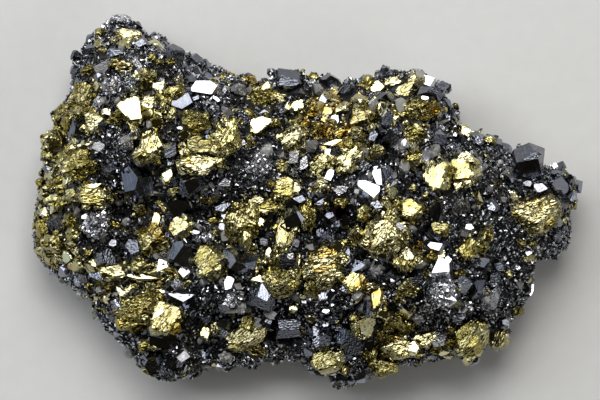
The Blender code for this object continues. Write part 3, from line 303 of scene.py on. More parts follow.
# The quartz grains
QUARTZ_SITES = each(
    Site,
    (3.0, 22.4, 2.8, 2.4, 0), (28.2, 16.0, 2.0, 1.6, 0), (-35.8, 2.0, 4.4, 1.0, -5),
    (-29.0, 1.6, 4.8, 1.0, -8), (-19.8, 2.0, 1.4, 1.2, 0), (-19.0, 3.0, 1.2, 1.2, 0),
    (-22.4, -1.0, 1.4, 1.2, 0), (-48.4, -16.2, 1.6, 1.4, 0), (-47.0, -17.2, 1.6, 1.4, 0),
    (-12.8, -16.6, 2.0, 1.8, 0), (14.0, -12.6, 3.6, 1.0, 85), (-14.4, -21.8, 4.4, 1.0, 0),
    (-38.8, -0.6, 2.4, 1.8, 30), (32.0, 15.8, 1.6, 1.6, 0), (-23.4, -29.6, 3.6, 1.2, 0),
    (-19.4, -33.0, 3.2, 1.6, -10), (-4.2, -28.8, 1.6, 1.4, 0), (-34.8, -25.6, 1.8, 1.4, 0),
    (1.6, -8.8, 1.8, 1.6, 0), (-11.2, -19.6, 1.8, 1.4, 0), (-36.8, -0.2, 1.8, 1.4, 0),
    (-35.6, 0.4, 1.6, 1.4, 0), (-33.8, -0.2, 1.8, 1.6, 0), (-32.2, 0.4, 1.6, 1.4, 0),
    (-30.6, 1.2, 1.8, 1.4, 0), (-29.0, 2.0, 1.6, 1.4, 0), (-28.4, 3.2, 1.4, 1.2, 0),
    (-21.2, 1.2, 1.6, 1.4, 0), (-19.4, 2.4, 1.6, 1.4, 0), (-18.0, 3.2, 1.4, 1.2, 0),
    (-3.6, 9.4, 2.2, 1.8, 0), (0.2, 22.0, 1.8, 1.6, 0), (-35.0, -4.0, 1.6, 1.3, 0, TOP, ROUGH),
    (-24.4, -12.0, 2.0, 1.6, 40, LEFT, LUMP), (-17.0, -21.6, 1.4, 1.1, 80, KEY, GRAIN),
    (-12.4, -21.0, 2.4, 1.9, 120, TOP, ROUGH), (-1.4, -18.8, 1.8, 1.4, 160, LEFT, LUMP),
    (-44.4, -18.8, 2.0, 1.6, 80, LEFT, LUMP), (-15.4, -31.0, 2.4, 1.9, 160, TOP, ROUGH),
    (-7.0, -32.0, 1.2, 1.0, 40, KEY, GRAIN), (-42.0, -23.0, 1.6, 1.3, 80, TOP, ROUGH),
    (-35.4, -30.6, 2.0, 1.6, 120, LEFT, LUMP), (3.0, -5.8, 1.4, 1.1, 160, KEY, GRAIN),
    (15.0, -13.6, 2.4, 1.9, 0, TOP, ROUGH), (11.0, -18.6, 1.8, 1.4, 40, LEFT, LUMP),
    (1.8, -20.0, 1.2, 1.0, 80, KEY, GRAIN), (13.0, -19.6, 1.6, 1.3, 120, TOP, ROUGH),
    (36.6, -19.6, 2.0, 1.6, 160, LEFT, LUMP), (0.4, -31.6, 1.4, 1.1, 0, KEY, GRAIN),
    (12.8, -34.8, 2.4, 1.9, 40, TOP, ROUGH), (7.4, 2.4, 1.2, 1.0, 120, KEY, GRAIN),
    (34.0, -1.0, 1.4, 1.1, 40, KEY, GRAIN), (19.6, 11.0, 2.4, 1.9, 80, TOP, ROUGH),
    (54.6, 5.0, 1.8, 1.4, 120, LEFT, LUMP), (-1.0, 8.4, 1.2, 1.0, 160, KEY, GRAIN),
    (-39.4, 20.0, 1.6, 1.3, 0, TOP, ROUGH), (-32.0, 8.0, 2.0, 1.6, 40, LEFT, LUMP),
    (-25.4, 9.4, 1.4, 1.1, 80, KEY, GRAIN), (-12.4, 22.4, 2.4, 1.9, 120, TOP, ROUGH),
    (-15.4, 22.4, 1.8, 1.4, 160, LEFT, LUMP),
)
# Where the solid's coarse outline is trued up to the specimen's
NUDGES = each(
    Patch,
    (-21.2, 31.2, 4.4, 4.4, 0.4, -3.2), (22.8, 28.2, 4.6, 4.4, 0.4, -2.6),
    (16.6, 25.8, 4.0, 4.0, -0.8, 2.2), (-1.6, 26.6, 5.0, 3.0, 0.0, -1.5),
    (30.4, 20.0, 4.0, 5.0, 1.9, 0.9), (38.2, 14.8, 2.6, 2.6, 0.0, -1.5),
    (45.8, 11.4, 4.6, 4.0, -0.6, -2.6), (54.2, 2.0, 4.0, 6.0, 1.4, 0.6),
    (48.6, -11.4, 2.8, 2.8, -1.0, 1.2), (38.6, -29.8, 6.6, 4.4, -1.2, 2.2),
    (-10.4, -33.8, 4.6, 3.0, 0.0, 1.4), (3.4, -35.4, 3.0, 3.0, 0.8, 1.6),
)
# Where the ore is fine and dark
DRUSE_PATCHES = each(
    Patch,
    (-23.4, 28.8, 7.4, 4.8), (-42.0, 29.2, 4.2, 4.6), (-38.0, 8.0, 4.2, 7.4), (-30.4, 2.0, 5.0, 3.4),
    (-8.0, 7.2, 6.4, 5.8), (-17.0, 4.2, 5.6, 3.6), (14.0, 5.0, 6.0, 4.6), (18.0, 10.2, 3.2, 4.4),
    (36.0, 7.6, 6.4, 11.6), (31.0, -2.0, 6.6, 7.0), (39.6, -2.0, 6.4, 9.0), (38.0, -12.4, 8.4, 6.6),
    (40.0, -23.0, 6.0, 5.0), (27.0, -17.4, 4.0, 4.2), (27.6, 12.6, 4.6, 3.4), (27.6, 23.4, 3.8, 3.4),
    (48.6, -9.0, 6.0, 6.0), (48.0, 6.8, 5.0, 4.0), (-45.4, -14.6, 5.6, 4.4), (-12.8, -11.2, 3.6, 2.8),
    (-38.4, -26.0, 4.4, 5.0), (-28.4, -29.6, 8.4, 4.6), (-14.0, -33.6, 8.0, 3.2), (-9.4, -29.6, 5.8, 3.4),
    (-36.4, -1.0, 2.8, 2.6), (-17.6, 18.4, 4.6, 3.8), (17.6, -17.6, 2.4, 2.4), (-19.4, -17.4, 6.8, 4.0),
    (-8.0, -21.8, 6.0, 4.4), (4.4, -19.8, 5.0, 4.4), (12.4, -12.6, 4.0, 3.6), (21.8, -12.0, 4.4, 4.0),
    (-0.4, 24.6, 6.8, 3.2), (2.0, -31.0, 6.0, 3.6), (25.0, -30.6, 6.0, 3.2), (-39.0, 32.6, 6.6, 5.0),
    (-32.4, 32.4, 5.0, 6.0), (-34.6, 25.6, 5.4, 4.0), (27.4, -22.0, 5.0, 4.4), (-28.0, -27.0, 4.6, 4.0),
    (7.0, -32.4, 6.6, 3.2), (-36.4, 30.2, 8.4, 6.0),
)
# Where the chalcopyrite has an amber tarnish
AMBER_PATCHES = each(
    Patch,
    (5.4, 16.6, 6.0, 7.0), (-37.0, 28.0, 4.0, 2.4), (25.6, 18.0, 2.6, 3.4), (-29.2, -3.4, 4.0, 4.6),
    (14.6, -16.4, 3.4, 6.0), (-23.4, -26.0, 2.6, 2.6), (3.0, -11.0, 4.0, 3.6), (24.0, -8.0, 3.0, 3.0),
    (-8.0, 24.4, 5.0, 1.6),
)
# Where the lesser crystals are mostly chalcopyrite
RICH_PATCHES = each(
    Patch,
    (6.6, 16.8, 10.0, 6.4), (-8.0, -12.0, 4.6, 3.4), (-28.4, -17.0, 4.8, 3.0), (-51.4, -7.6, 5.6, 6.0),
    (-50.4, 5.0, 5.0, 9.6), (-46.0, 17.0, 4.6, 5.0), (-42.0, -11.4, 6.0, 2.6), (-13.0, -3.6, 5.0, 4.0),
    (17.0, -25.0, 6.0, 3.6), (16.0, 18.6, 5.6, 4.4), (21.6, 14.8, 3.4, 3.4), (-28.0, 18.4, 3.4, 2.8),
    (12.0, 13.0, 3.4, 3.0),
)


# Nothing reaches below the flat cut or stands clear of the specimen's top, in mm.
CUT_LEVEL = 0.0
CEILING = 29.0
# Below this height chalcopyrite grows rarer, over this many mm down the flanks.
FLANK_TOP = 14.0
FLANK_FADE = 7.0
# How much of the open ground's chalcopyrite, and of a rich patch's, is gone at the bottom.
OPEN_LOSS = 0.75
RICH_LOSS = 0.9
# How steeply a patch fades in from its edge.
PATCH_EDGE = 3.0
# How many variants of each habit are cut.
VARIANTS = 20
# Each crystal's patterns are taken from a place of its own, up to this far off, in mm.
PATTERN_REACH = 50.0
# The fewest and most small facets on one crystal, the area of its skin as a share of that of
# the block around it, and how far a facet may be stepped, as a share of its own rise.
FEWEST_FACETS = 3
MOST_FACETS = 260
SKIN_AREA = 0.6
FACET_STEP = 0.25
# The share of a growth ridge that rises, and how far it slants across the crystal's height.
RIDGE_RISE = 0.7
RIDGE_SLANT = 0.3
# How far waves shift the growth ridges, as a share of their spacing, and how tight the waves are.
RIDGE_WAVES = ((0.35, 1.1), (0.2, 2.6))
# Where a fan of ridges starts, as shares of the crystal's half sizes: how far along it, and how
# far at most to each side. Near the start its ridges are no lower than this share of the rest.
FAN_START = 0.7
FAN_SIDE = 0.4
FAN_LOWEST = 0.15
# How far a rounded corner of a chalcopyrite crystal may reach out of its block.
CORNER_REACH = 1.15
# How broken each main face of a chalcopyrite crystal is at least.
LEAST_BROKEN = 0.25
# How etched its soundest skin is, and how much more so where it is broken.
SOUND_ETCH = 0.5
BROKEN_ETCH = 0.7
# How much rarer the more etched plane-faced crystals are, as a power.
ETCH_RARITY = 1.5
# How much of a chalcopyrite crystal's tone is its own, and how much is its facets'.
OWN_TONE = 0.6


def source(name: str) -> Draws:
    """A random source of its own for each thing that draws, the same each run."""
    return np.random.default_rng([ord(letter) for letter in name])


def unit(vectors: Array) -> Array:
    """Vectors scaled to a length of 1."""
    return vectors / np.maximum(np.linalg.norm(vectors, axis=-1, keepdims=True), 1e-9)


def leaning(bearing: float, tilt: float) -> Array:
    """The unit normal of a face that leans from level towards a bearing.

    Args:
        bearing: where it leans to in the plan, in degrees.
        tilt: how far it leans from level, in degrees.

    Returns:
        The normal.
    """
    flat = math.sin(math.radians(tilt))
    turn = math.radians(bearing)
    return np.array([flat * math.cos(turn), flat * math.sin(turn), math.cos(math.radians(tilt))])


def pose(normals: Array, along: Array) -> Array:
    """Rotations that stand crystals on a surface.

    Args:
        normals: unit normals, which local z follows.
        along: vectors that local x lies over.

    Returns:
        One 3 by 3 matrix for each normal, whose columns are the crystal's own axes.
    """
    across = unit(np.cross(normals, along))
    return np.stack([np.cross(across, normals), across, normals], axis=-1)


def wander(normals: Array, spread: float, rng: Draws) -> Array:
    """Normals turned away at random, as crystals on a druse are."""
    return unit(normals + rng.normal(0.0, spread, normals.shape))


def strewn(normals: Array, spread: float, rng: Draws) -> Array:
    """Rotations of crystals on a surface that lean a little and point anywhere along it."""
    return pose(wander(normals, spread, rng), rng.normal(0.0, 1.0, normals.shape))


def within(patches: tuple[Patch, ...], points: Array) -> Array:
    """How far each point lies inside any of some patches.

    Args:
        patches: the patches.
        points: points of the surface in mm.

    Returns:
        From 0 outside to 1 well inside, for each point.
    """
    inside = np.zeros(len(points))
    for patch in patches:
        inside = np.maximum(inside, np.clip(PATCH_EDGE * (1.0 - patch.away(points)), 0.0, 1.0))
    return inside


def depth(points: Array) -> Array:
    """How far down the flanks each point is, from 0 above them to 1."""
    return np.clip((FLANK_TOP - points[:, 2]) / FLANK_FADE, 0.0, 1.0)


def poverty(points: Array) -> Array:
    """How little chalcopyrite grows at each point, from 0 on open ground to 1."""
    return np.maximum(within(DRUSE_PATCHES, points), OPEN_LOSS * depth(points))


def riches(points: Array) -> Array:
    """How rich in chalcopyrite each point is, from 0 on open ground to 1."""
    return within(RICH_PATCHES, points) * (1.0 - RICH_LOSS * depth(points))


def linked(name: str, data: bpy.types.ID) -> bpy.types.Object:
    """A new object in the scene.

    Args:
        name: its name.
        data: its mesh, light or camera.

    Returns:
        The object.
    """
    made = bpy.data.objects.new(name, data)
    bpy.context.scene.collection.objects.link(made)
    return made


def arrays(mesh: bmesh.types.BMesh) -> tuple[Array, Array]:
    """Takes the corners and triangles out of a mesh, which is freed.

    Args:
        mesh: the mesh, with triangles only.

    Returns:
        Its corners, and the numbers of the three corners of each triangle.
    """
    mesh.verts.index_update()
    points = np.array([vert.co[:] for vert in mesh.verts])
    triangles = np.array([[vert.index for vert in face.verts] for face in mesh.faces])
    mesh.free()
    return points, triangles


class Ring(NamedTuple):
    """Faces in a ring about a crystal's local z.

    count is how many there are and start the bearing of the first, in degrees; where either is
    two numbers, it is drawn between them. rise is how far each face leans upwards, distance its
    distance from the middle, and tilt how far it may turn from the ideal form.
    """

    count: int | tuple[int, int]
    start: float | tuple[float, float]
    rise: float
    distance: float
    tilt: float = 0.12

    def faces(self, rng: Draws) -> list[Plane]:
        """The faces, shifted a little from the ideal form, as on a real crystal.

        Args:
            rng: the random source.

        Returns:
            The faces.
        """
        count = self.count if isinstance(self.count, int) else int(rng.integers(*self.count))
        start = self.start if isinstance(self.start, float) else rng.uniform(*self.start)
        made = []
        for bearing in np.radians(start + 360.0 * np.arange(count) / count):
            normal = unit(np.array([math.cos(bearing), math.sin(bearing), self.rise]))
            swing = rng.normal(0.0, self.tilt, 3)
            swing = swing + self.tilt * rng.normal() * np.array([-normal[1], normal[0], 0.0])
            made.append((unit(normal + swing), self.distance * rng.uniform(*DISTANCE_PLAY)))
        return made


# A face of a crystal lies between these shares of its distance in the ideal form, and a corner
# of a small grain between these distances from its middle.
DISTANCE_PLAY = (0.78, 1.12)
GRAIN_REACH = (0.8, 1.15)
# The rings of faces of each habit, from the top down, in a block that reaches 1 to each side
HABIT_RINGS = {
    PYRAMID: (Ring(3, 90.0, 1.15, 0.5, 0.06), Ring(3, 30.0, 0.35, 0.86)),
    LUMP: (Ring(4, (0, 90), 1.1, 0.78, 0.22), Ring(6, (0, 60), 0.15, 0.86, 0.2)),
    TABLET: (Ring((3, 6), (0, 60), 0.4, 0.84, 0.24), Ring(2, (0, 360), 1.6, 0.8)),
    CLEAVED: (Ring((4, 7), (0, 90), 0.12, 0.86, 0.22),),
    ROUGH: (Ring(5, (0, 90), 1.3, 0.72, 0.35), Ring(5, (0, 60), 0.3, 0.8, 0.3)),
}
LEVEL_TOPPED = (TABLET, CLEAVED)
# How high a level top is, and the same for chalcopyrite, whose top may also tilt this far.
LEVEL_HEIGHT = (0.5, 0.62)
BROAD_HEIGHT = (0.5, 0.6)
BROAD_TILT = 0.03
# The sloping faces of broad chalcopyrite crystals and of humped ones, and the foot of both
BROAD_SKINS = (SMOOTH, SATIN, STRIATED)
BROAD_SLOPES = Ring((3, 6), (0, 90), 0.45, 0.86, 0.16)
HUMPED_SLOPES = Ring((3, 6), (0, 90), 0.9, 0.76, 0.16)
FOOT = Ring((3, 6), (0, 90), 0.05, 0.93)


def habit_faces(habit: Habit, rng: Draws) -> list[Plane]:
    """The faces of one crystal of a habit.

    Args:
        habit: the form.
        rng: the random source.

    Returns:
        The faces, in a block that reaches 1 to each side.
    """
    level = (np.array([0.0, 0.0, 1.0]), rng.uniform(*LEVEL_HEIGHT))
    faces = [face for ring in HABIT_RINGS[habit] for face in ring.faces(rng)]
    return [level] + faces if habit in LEVEL_TOPPED else faces


def chalcopyrite_faces(skin: Skin, rng: Draws) -> list[Plane]:
    """The main faces of one chalcopyrite crystal: a broad top, sloping faces and a steep foot.

    Args:
        skin: the relief of its faces; a smooth crystal has the broadest top.
        rng: the random source.

    Returns:
        The faces, in a block that reaches 1 to each side.
    """
    upward = unit(np.array([0.0, 0.0, 1.0]) + rng.normal(0.0, BROAD_TILT, 3))
    top = (upward, rng.uniform(*BROAD_HEIGHT))
    slopes = BROAD_SLOPES if skin in BROAD_SKINS else HUMPED_SLOPES
    return [top] + slopes.faces(rng) + FOOT.faces(rng)


@dataclass(frozen=True)
class PlaneForm:
    """A crystal form with plane faces, inside a block that reaches 1 to each side."""

    points: Array
    triangles: Array

    @classmethod
    def taken(cls, mesh: bmesh.types.BMesh) -> "PlaneForm":
        """Takes the form over from a mesh, which is freed."""
        bmesh.ops.recalc_face_normals(mesh, faces=mesh.faces)
        bmesh.ops.triangulate(mesh, faces=mesh.faces)
        return cls(*arrays(mesh))

    @classmethod
    def shard(cls, rng: Draws, corners: int = 7) -> "PlaneForm":
        """A small grain: the hull of a few corners.

        Args:
            rng: the random source.
            corners: how many.

        Returns:
            The form.
        """
        mesh = bmesh.new()
        directions = unit(rng.normal(0.0, 1.0, (corners, 3)))
        for corner in directions * rng.uniform(*GRAIN_REACH, (corners, 1)):
            mesh.verts.new(corner)
        hull = bmesh.ops.convex_hull(mesh, input=mesh.verts)
        inner = [item for item in hull["geom_interior"] if isinstance(item, bmesh.types.BMVert)]
        bmesh.ops.delete(mesh, geom=inner, context="VERTS")
        return cls.taken(mesh)

    @classmethod
    def cut(cls, planes: Iterable[Plane]) -> "PlaneForm":
        """Cuts the form from a cube.

        Args:
            planes: its faces.

        Returns:
            The form.
        """
        mesh = bmesh.new()
        bmesh.ops.create_cube(mesh, size=2.0)
        for normal, distance in planes:
            direction = Vector(unit(np.array(normal, float)))
            everything = mesh.verts[:] + mesh.edges[:] + mesh.faces[:]
            point = direction * distance
            made = bmesh.ops.bisect_plane(
                mesh, geom=everything, plane_co=point, plane_no=direction, clear_outer=True
            )
            rim = [item for item in made["geom_cut"] if isinstance(item, bmesh.types.BMEdge)]
            if len(rim) > 2:
                bmesh.ops.contextual_create(mesh, geom=rim)
        return cls.taken(mesh)


@cache
def forms(habit: Habit) -> list[PlaneForm]:
    """The variants of a habit, cut when they are first asked for.

    Args:
        habit: the habit.

    Returns:
        Its variants.
    """
    rng = source(habit.value)
    if habit is GRAIN:
        return [PlaneForm.shard(rng) for _ in range(VARIANTS)]
    return [PlaneForm.cut(habit_faces(habit, rng)) for _ in range(VARIANTS)]


@cache
def dome(level: int, floor: float = -0.5) -> tuple[Array, Array]:
    """The upper part of an icosphere, which a chalcopyrite crystal is shaped from.

    Args:
        level: how many times the icosphere is divided.
        floor: how far down the part reaches.

    Returns:
        Unit directions and triangles.
    """
    mesh = bmesh.new()
    bmesh.ops.create_icosphere(mesh, subdivisions=level, radius=1.0)
    low = [vert for vert in mesh.verts if vert.co.z < floor]
    bmesh.ops.delete(mesh, geom=low, context="VERTS")
    points, triangles = arrays(mesh)
    return unit(points), triangles


def faceted(points: Array, cell: float, slope: float, stretch: float, rng: Draws) -> tuple:
    """A relief of small plane facets, each tilted its own way.

    Args:
        points: corners in the crystal's own axes, in mm.
        cell: the width of a facet in mm.
        slope: how far a facet tilts.
        stretch: how much longer a facet is along local x.
        rng: the random source.

    Returns:
        The height of the relief at each corner in mm, and each corner's facet number.
    """
    drawn = np.array([stretch, 1.0, 1.0])
    scaled = points / drawn
    spread = scaled.max(axis=0) - scaled.min(axis=0)
    block = 2.0 * (spread[0] * spread[1] + spread[0] * spread[2] + spread[1] * spread[2])
    most = min(MOST_FACETS, len(points))
    count = int(np.clip(block * SKIN_AREA / cell**2, FEWEST_FACETS, most))
    seeds = scaled[rng.choice(len(points), count, replace=False)]
    nearest = ((scaled[:, None] - seeds[None]) ** 2).sum(axis=-1).argmin(axis=1)
    tilts = rng.normal(0.0, slope, (count, 3)) / drawn
    steps = rng.uniform(-FACET_STEP, FACET_STEP, count) * slope * cell
    height = ((scaled - seeds[nearest]) * tilts[nearest]).sum(axis=-1) + steps[nearest]
    return height, nearest


def sawtooth(phase: Array) -> Array:
    """A ridge profile from 0 to 1 that rises slowly and falls steeply."""
    part = phase - np.floor(phase)
    return np.minimum(part / RIDGE_RISE, (1.0 - part) / (1.0 - RIDGE_RISE))


@dataclass(frozen=True)
class Relief:
    """How the faces of a chalcopyrite crystal are broken up, with lengths in mm.

    cell is the width of the small facets and slope how far they tilt; fine_cell and fine_slope
    are the same for the facets on them. etch is how broken the skin is. stretch draws the
    facets out along the crystal. ridge is the spacing of growth ridges and height their
    height. crisp is how sharp the main edges are. The ridges of a fan run out from one end.
    """

    cell: float
    slope: float
    fine_cell: float
    fine_slope: float
    etch: float
    crisp: float
    stretch: float = 1.0
    ridge: float = 0.0
    height: float = 0.0
    fan: bool = False

    def ridges(self, grain: Array, half: Array, rng: Draws) -> Array:
        """Growth ridges along the crystal, or fanned out from one end of it.

        Args:
            grain: corners in the crystal's own axes, in mm.
            half: the crystal's half sizes in mm.
            rng: the random source.

        Returns:
            The height of the ridges at each corner, from 0 to 1.
        """
        warp = np.zeros(len(grain))
        for shift, tightness in RIDGE_WAVES:
            warp += shift * np.sin(grain @ rng.normal(0.0, tightness, 3) + rng.uniform(0.0, 6.0))
        if not self.fan:
            across = grain[:, 1] + RIDGE_SLANT * grain[:, 2]
            return sawtooth(across / self.ridge + warp)
        from_x = grain[:, 0] - half[0] * FAN_START
        from_y = grain[:, 1] - half[1] * rng.uniform(-FAN_SIDE, FAN_SIDE)
        turns = np.arctan2(from_y, from_x) / (2.0 * math.pi)
        spokes = np.round(2.0 * math.pi * half[0] / self.ridge)
        fade = np.clip(np.hypot(from_x, from_y) / half[0], FAN_LOWEST, 1.0)
        return sawtooth(turns * spokes + warp) * fade


RELIEFS = {
    SMOOTH: Relief(2.6, 0.02, 0.9, 0.01, etch=0.05, crisp=90.0),
    SATIN: Relief(1.8, 0.07, 0.7, 0.05, etch=0.35, crisp=60.0),
    GRANULAR: Relief(1.3, 0.24, 0.5, 0.22, etch=1.0, crisp=40.0),
    STRIATED: Relief(1.8, 0.08, 0.6, 0.1, 0.6, 50.0, stretch=2.6, ridge=0.55, height=0.1),
    BLADED: Relief(1.0, 0.42, 0.5, 0.2, 0.5, 30.0, stretch=3.6, ridge=0.9, height=0.07),
    FANNED: Relief(2.0, 0.12, 0.6, 0.07, 0.4, 40.0, stretch=1.4, ridge=0.8, height=0.24, fan=True),
}


@dataclass
class Stand:
    """Where one crystal stands: its middle, rotation matrix and half sizes, in mm."""

    middle: Array
    turn: Array
    half: Array


@dataclass
class Mass:
    """Crystals of one mineral, gathered as arrays and joined into one mesh."""

    name: str
    crystals: list[tuple[Array, ...]] = field(default_factory=list)
    count: int = 0

    def add(self, points: Array, triangles: Array, grain: Array, tone: Array, etch: Array) -> None:
        """Adds one or more crystals.

        Args:
            points: their corners in mm, in the frame of the specimen.
            triangles: three corners for each facet, counted from 0.
            grain: the same corners in each crystal's own axes, for what follows its growth.
            tone: a number from 0 to 1 for each corner, for colour that varies between crystals.
            etch: how broken the skin is at each corner, from 0 for a mirror face to 1.
        """
        self.crystals.append((points, triangles + self.count, grain, tone, etch))
        self.count += len(points)

    def place(
        self, habit: Habit, middles: Array, turns: Array, sizes: Array, rng: Draws, etched: float = 1.0
    ) -> None:
        """Copies crystals of one habit into the mass.

        Args:
            habit: their form.
            middles: their middles in mm.
            turns: their rotation matrices.
            sizes: their half sizes along their own axes, in mm.
            rng: the random source for variants and tones.
            etched: how broken the skin of the most etched of them is.
        """
        shelf = forms(habit)
        picks = rng.integers(0, len(shelf), len(middles))
        tones = rng.uniform(0.0, 1.0, len(middles))
        etches = etched * rng.uniform(0.0, 1.0, len(middles)) ** ETCH_RARITY
        for pick, form in enumerate(shelf):
            chosen = np.flatnonzero(picks == pick)
            if not len(chosen):
                continue
            corners = len(form.points)
            grain = form.points[None] * sizes[chosen][:, None]
            points = np.einsum("nij,nkj->nki", turns[chosen], grain) + middles[chosen][:, None]
            offsets = np.arange(len(chosen))[:, None, None] * corners
            triangles = (form.triangles[None] + offsets).reshape(-1, 3)
            tone, etch = np.repeat(tones[chosen], corners), np.repeat(etches[chosen], corners)
            shifted = grain + rng.uniform(-PATTERN_REACH, PATTERN_REACH, (len(chosen), 1, 3))
            self.add(points.reshape(-1, 3), triangles, shifted.reshape(-1, 3), tone, etch)

    def grow(self, skin: Skin, stand: Stand, level: int, rng: Draws) -> None:
        """Shapes one chalcopyrite crystal: a rounded polyhedron with a broken, ridged skin.

        Args:
            skin: the relief of its faces.
            stand: where it stands.
            level: its level of detail.
            rng: the random source.
        """
        relief = RELIEFS[skin]
        directions, triangles = dome(level)
        planes = chalcopyrite_faces(skin, rng)
        normals = np.array([normal for normal, _ in planes])
        reaches = np.array([reach for _, reach in planes])
        facing = np.maximum(directions @ normals.T / reaches, 1e-3)
        broken = rng.uniform(LEAST_BROKEN, 1.0, len(planes))[facing.argmax(axis=1)]
        radius = (facing**relief.crisp).sum(axis=1) ** (-1.0 / relief.crisp)
        grain = directions * np.minimum(radius, CORNER_REACH)[:, None] * stand.half
        lift, cell = faceted(grain, relief.cell, relief.slope, relief.stretch, rng)
        lift = lift + faceted(grain, relief.fine_cell, relief.fine_slope, relief.stretch, rng)[0]
        if relief.ridge:
            lift += relief.height * relief.ridges(grain, stand.half, rng)
        grain = grain + unit(directions / stand.half) * (lift * broken)[:, None]
        points = grain @ stand.turn.T + stand.middle
        shades = rng.uniform(0.0, 1.0, cell.max() + 1)
        tone = OWN_TONE * rng.uniform(0.0, 1.0) + (1.0 - OWN_TONE) * shades[cell]
        etch = np.clip(relief.etch * (SOUND_ETCH + BROKEN_ETCH * broken), 0.0, 1.0)
        self.add(points, triangles, grain + rng.uniform(-PATTERN_REACH, PATTERN_REACH, 3), tone, etch)

    def joined(self) -> bpy.types.Object:
        """The mass as one object in metres, with what its finish reads kept on its corners.

        Returns:
            The object, linked to the scene.
        """
        points, triangles, grain, tone, etch = map(np.concatenate, zip(*self.crystals))
        points[:, 2] = np.clip(points[:, 2], CUT_LEVEL, CEILING)
        points = (points * MM).astype(np.float32)
        mesh = bpy.data.meshes.new(self.name)
        mesh.vertices.add(len(points))
        mesh.vertices.foreach_set("co", points.ravel())
        mesh.loops.add(triangles.size)
        mesh.loops.foreach_set("vertex_index", triangles.astype(np.int32).ravel())
        mesh.polygons.add(len(triangles))
        mesh.polygons.foreach_set("loop_start", np.arange(0, triangles.size, 3, dtype=np.int32))
        mesh.update(calc_edges=True)
        mesh.shade_flat()
        mesh.validate()
        carried = mesh.attributes.new("grain", "FLOAT_VECTOR", "POINT")
        carried.data.foreach_set("vector", grain.astype(np.float32).ravel())
        places = points / MM
        values = {
            "tone": tone,
            "etch": etch,
            "amber": within(AMBER_PATCHES, places),
            # Painted shade: grains on open ground, between the larger crystals and away from the druse
            # patches and the flanks, are darkened.
            "open_ore": 1.0 - np.maximum(within(DRUSE_PATCHES, places), depth(places)),
        }
        for name, numbers in values.items():
            carried = mesh.attributes.new(name, "FLOAT", "POINT")
            carried.data.foreach_set("value", numbers.astype(np.float32))
        return linked(self.name, mesh)


def trued_corners(mesh: bpy.types.Mesh) -> Array:
    """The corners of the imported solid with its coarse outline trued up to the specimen's.

    Args:
        mesh: the solid's mesh, or one made from it.

    Returns:
        Its corners in mm, moved in the plan where a nudge reaches them.
    """
    points = np.empty(len(mesh.vertices) * 3, np.float32)
    mesh.vertices.foreach_get("co", points)
    points = points.reshape(-1, 3) / MM
    moved = points.astype(float)
    for nudge in NUDGES:
        share = np.clip(1.0 - nudge.away(points), 0.0, 1.0) ** 2
        moved[:, 0] += share * nudge.move_x
        moved[:, 1] += share * nudge.move_y
    return moved


@dataclass
class Ground:
    """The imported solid's surface, in mm, which everything stands on.

    sky is a height clear of it all, and rim the height of its widest part. undercut is how far
    its normals may point down before it is counted as the flat cut.
    """

    node: bpy.types.Object
    sky: float = 100.0
    rim: float = 9.0
    undercut: float = -0.8
    corners: Array = field(init=False)
    normals: Array = field(init=False)
    areas: Array = field(init=False)
    tree: BVHTree = field(init=False)

    def __post_init__(self) -> None:
        """Reads the solid's triangles."""
        mesh = self.node.data
        mesh.calc_loop_triangles()
        points = trued_corners(mesh)
        triangles = np.empty(len(mesh.loop_triangles) * 3, np.int32)
        mesh.loop_triangles.foreach_get("vertices", triangles)
        triangles = triangles.reshape(-1, 3)
        self.corners = points[triangles]
        edges = self.corners[:, 1:] - self.corners[:, :1]
        crossed = np.cross(edges[:, 0], edges[:, 1])
        self.normals = unit(crossed)
        self.areas = np.linalg.norm(crossed, axis=-1) / 2.0
        self.tree = BVHTree.FromPolygons(points.tolist(), triangles.tolist())

    def below(self, x: float, y: float) -> Array:
        """The surface straight below a plan point, or nearest to it where that is outside.

        Args:
            x: the plan point's x in mm.
            y: the plan point's y in mm.

        Returns:
            The point.
        """
        hit = self.tree.ray_cast(Vector((x, y, self.sky)), Vector((0.0, 0.0, -1.0)))[0]
        if hit is None:
            hit = self.tree.find_nearest(Vector((x, y, self.rim)))[0]
        return np.array(hit)

    def scatter(self, density: float, low: float, rng: Draws) -> tuple[Array, Array]:
        """Points spread over the surface, leaving out the flat cut.

        Args:
            density: points for each square mm.
            low: the height in mm that they stay above.
            rng: the random source.

        Returns:
            The points and the normals there.
        """
        count = int(self.areas.sum() * density)
        picks = rng.choice(len(self.areas), count, p=self.areas / self.areas.sum())
        weights = rng.dirichlet((1.0, 1.0, 1.0), count)
        points = (self.corners[picks] * weights[..., None]).sum(axis=1)
        kept = (points[:, 2] > low) & (self.normals[picks][:, 2] > self.undercut)
        return points[kept], self.normals[picks][kept]


def thinned(points: Array, reaches: Array) -> Array:
    """Picks points that keep clear of each other.

    Args:
        points: candidates in mm, in order of preference.
        reaches: how far each keeps the others away, in mm.

    Returns:
        The numbers of the points that stay.
    """
    cell = float(reaches.max())
    kept: list[int] = []
    grid: dict[tuple[int, int, int], list[int]] = {}
    near = [(i, j, k) for i in (-1, 0, 1) for j in (-1, 0, 1) for k in (-1, 0, 1)]
    for number, point in enumerate(points):
        x, y, z = (math.floor(value / cell) for value in point)
        around = [other for i, j, k in near for other in grid.get((x + i, y + j, z + k), ())]
        if around:
            gaps = np.linalg.norm(points[around] - point, axis=1)
            if (gaps < np.minimum(reaches[around], reaches[number])).any():
                continue
        kept.append(number)
        grid.setdefault((x, y, z), []).append(number)
    return np.array(kept)


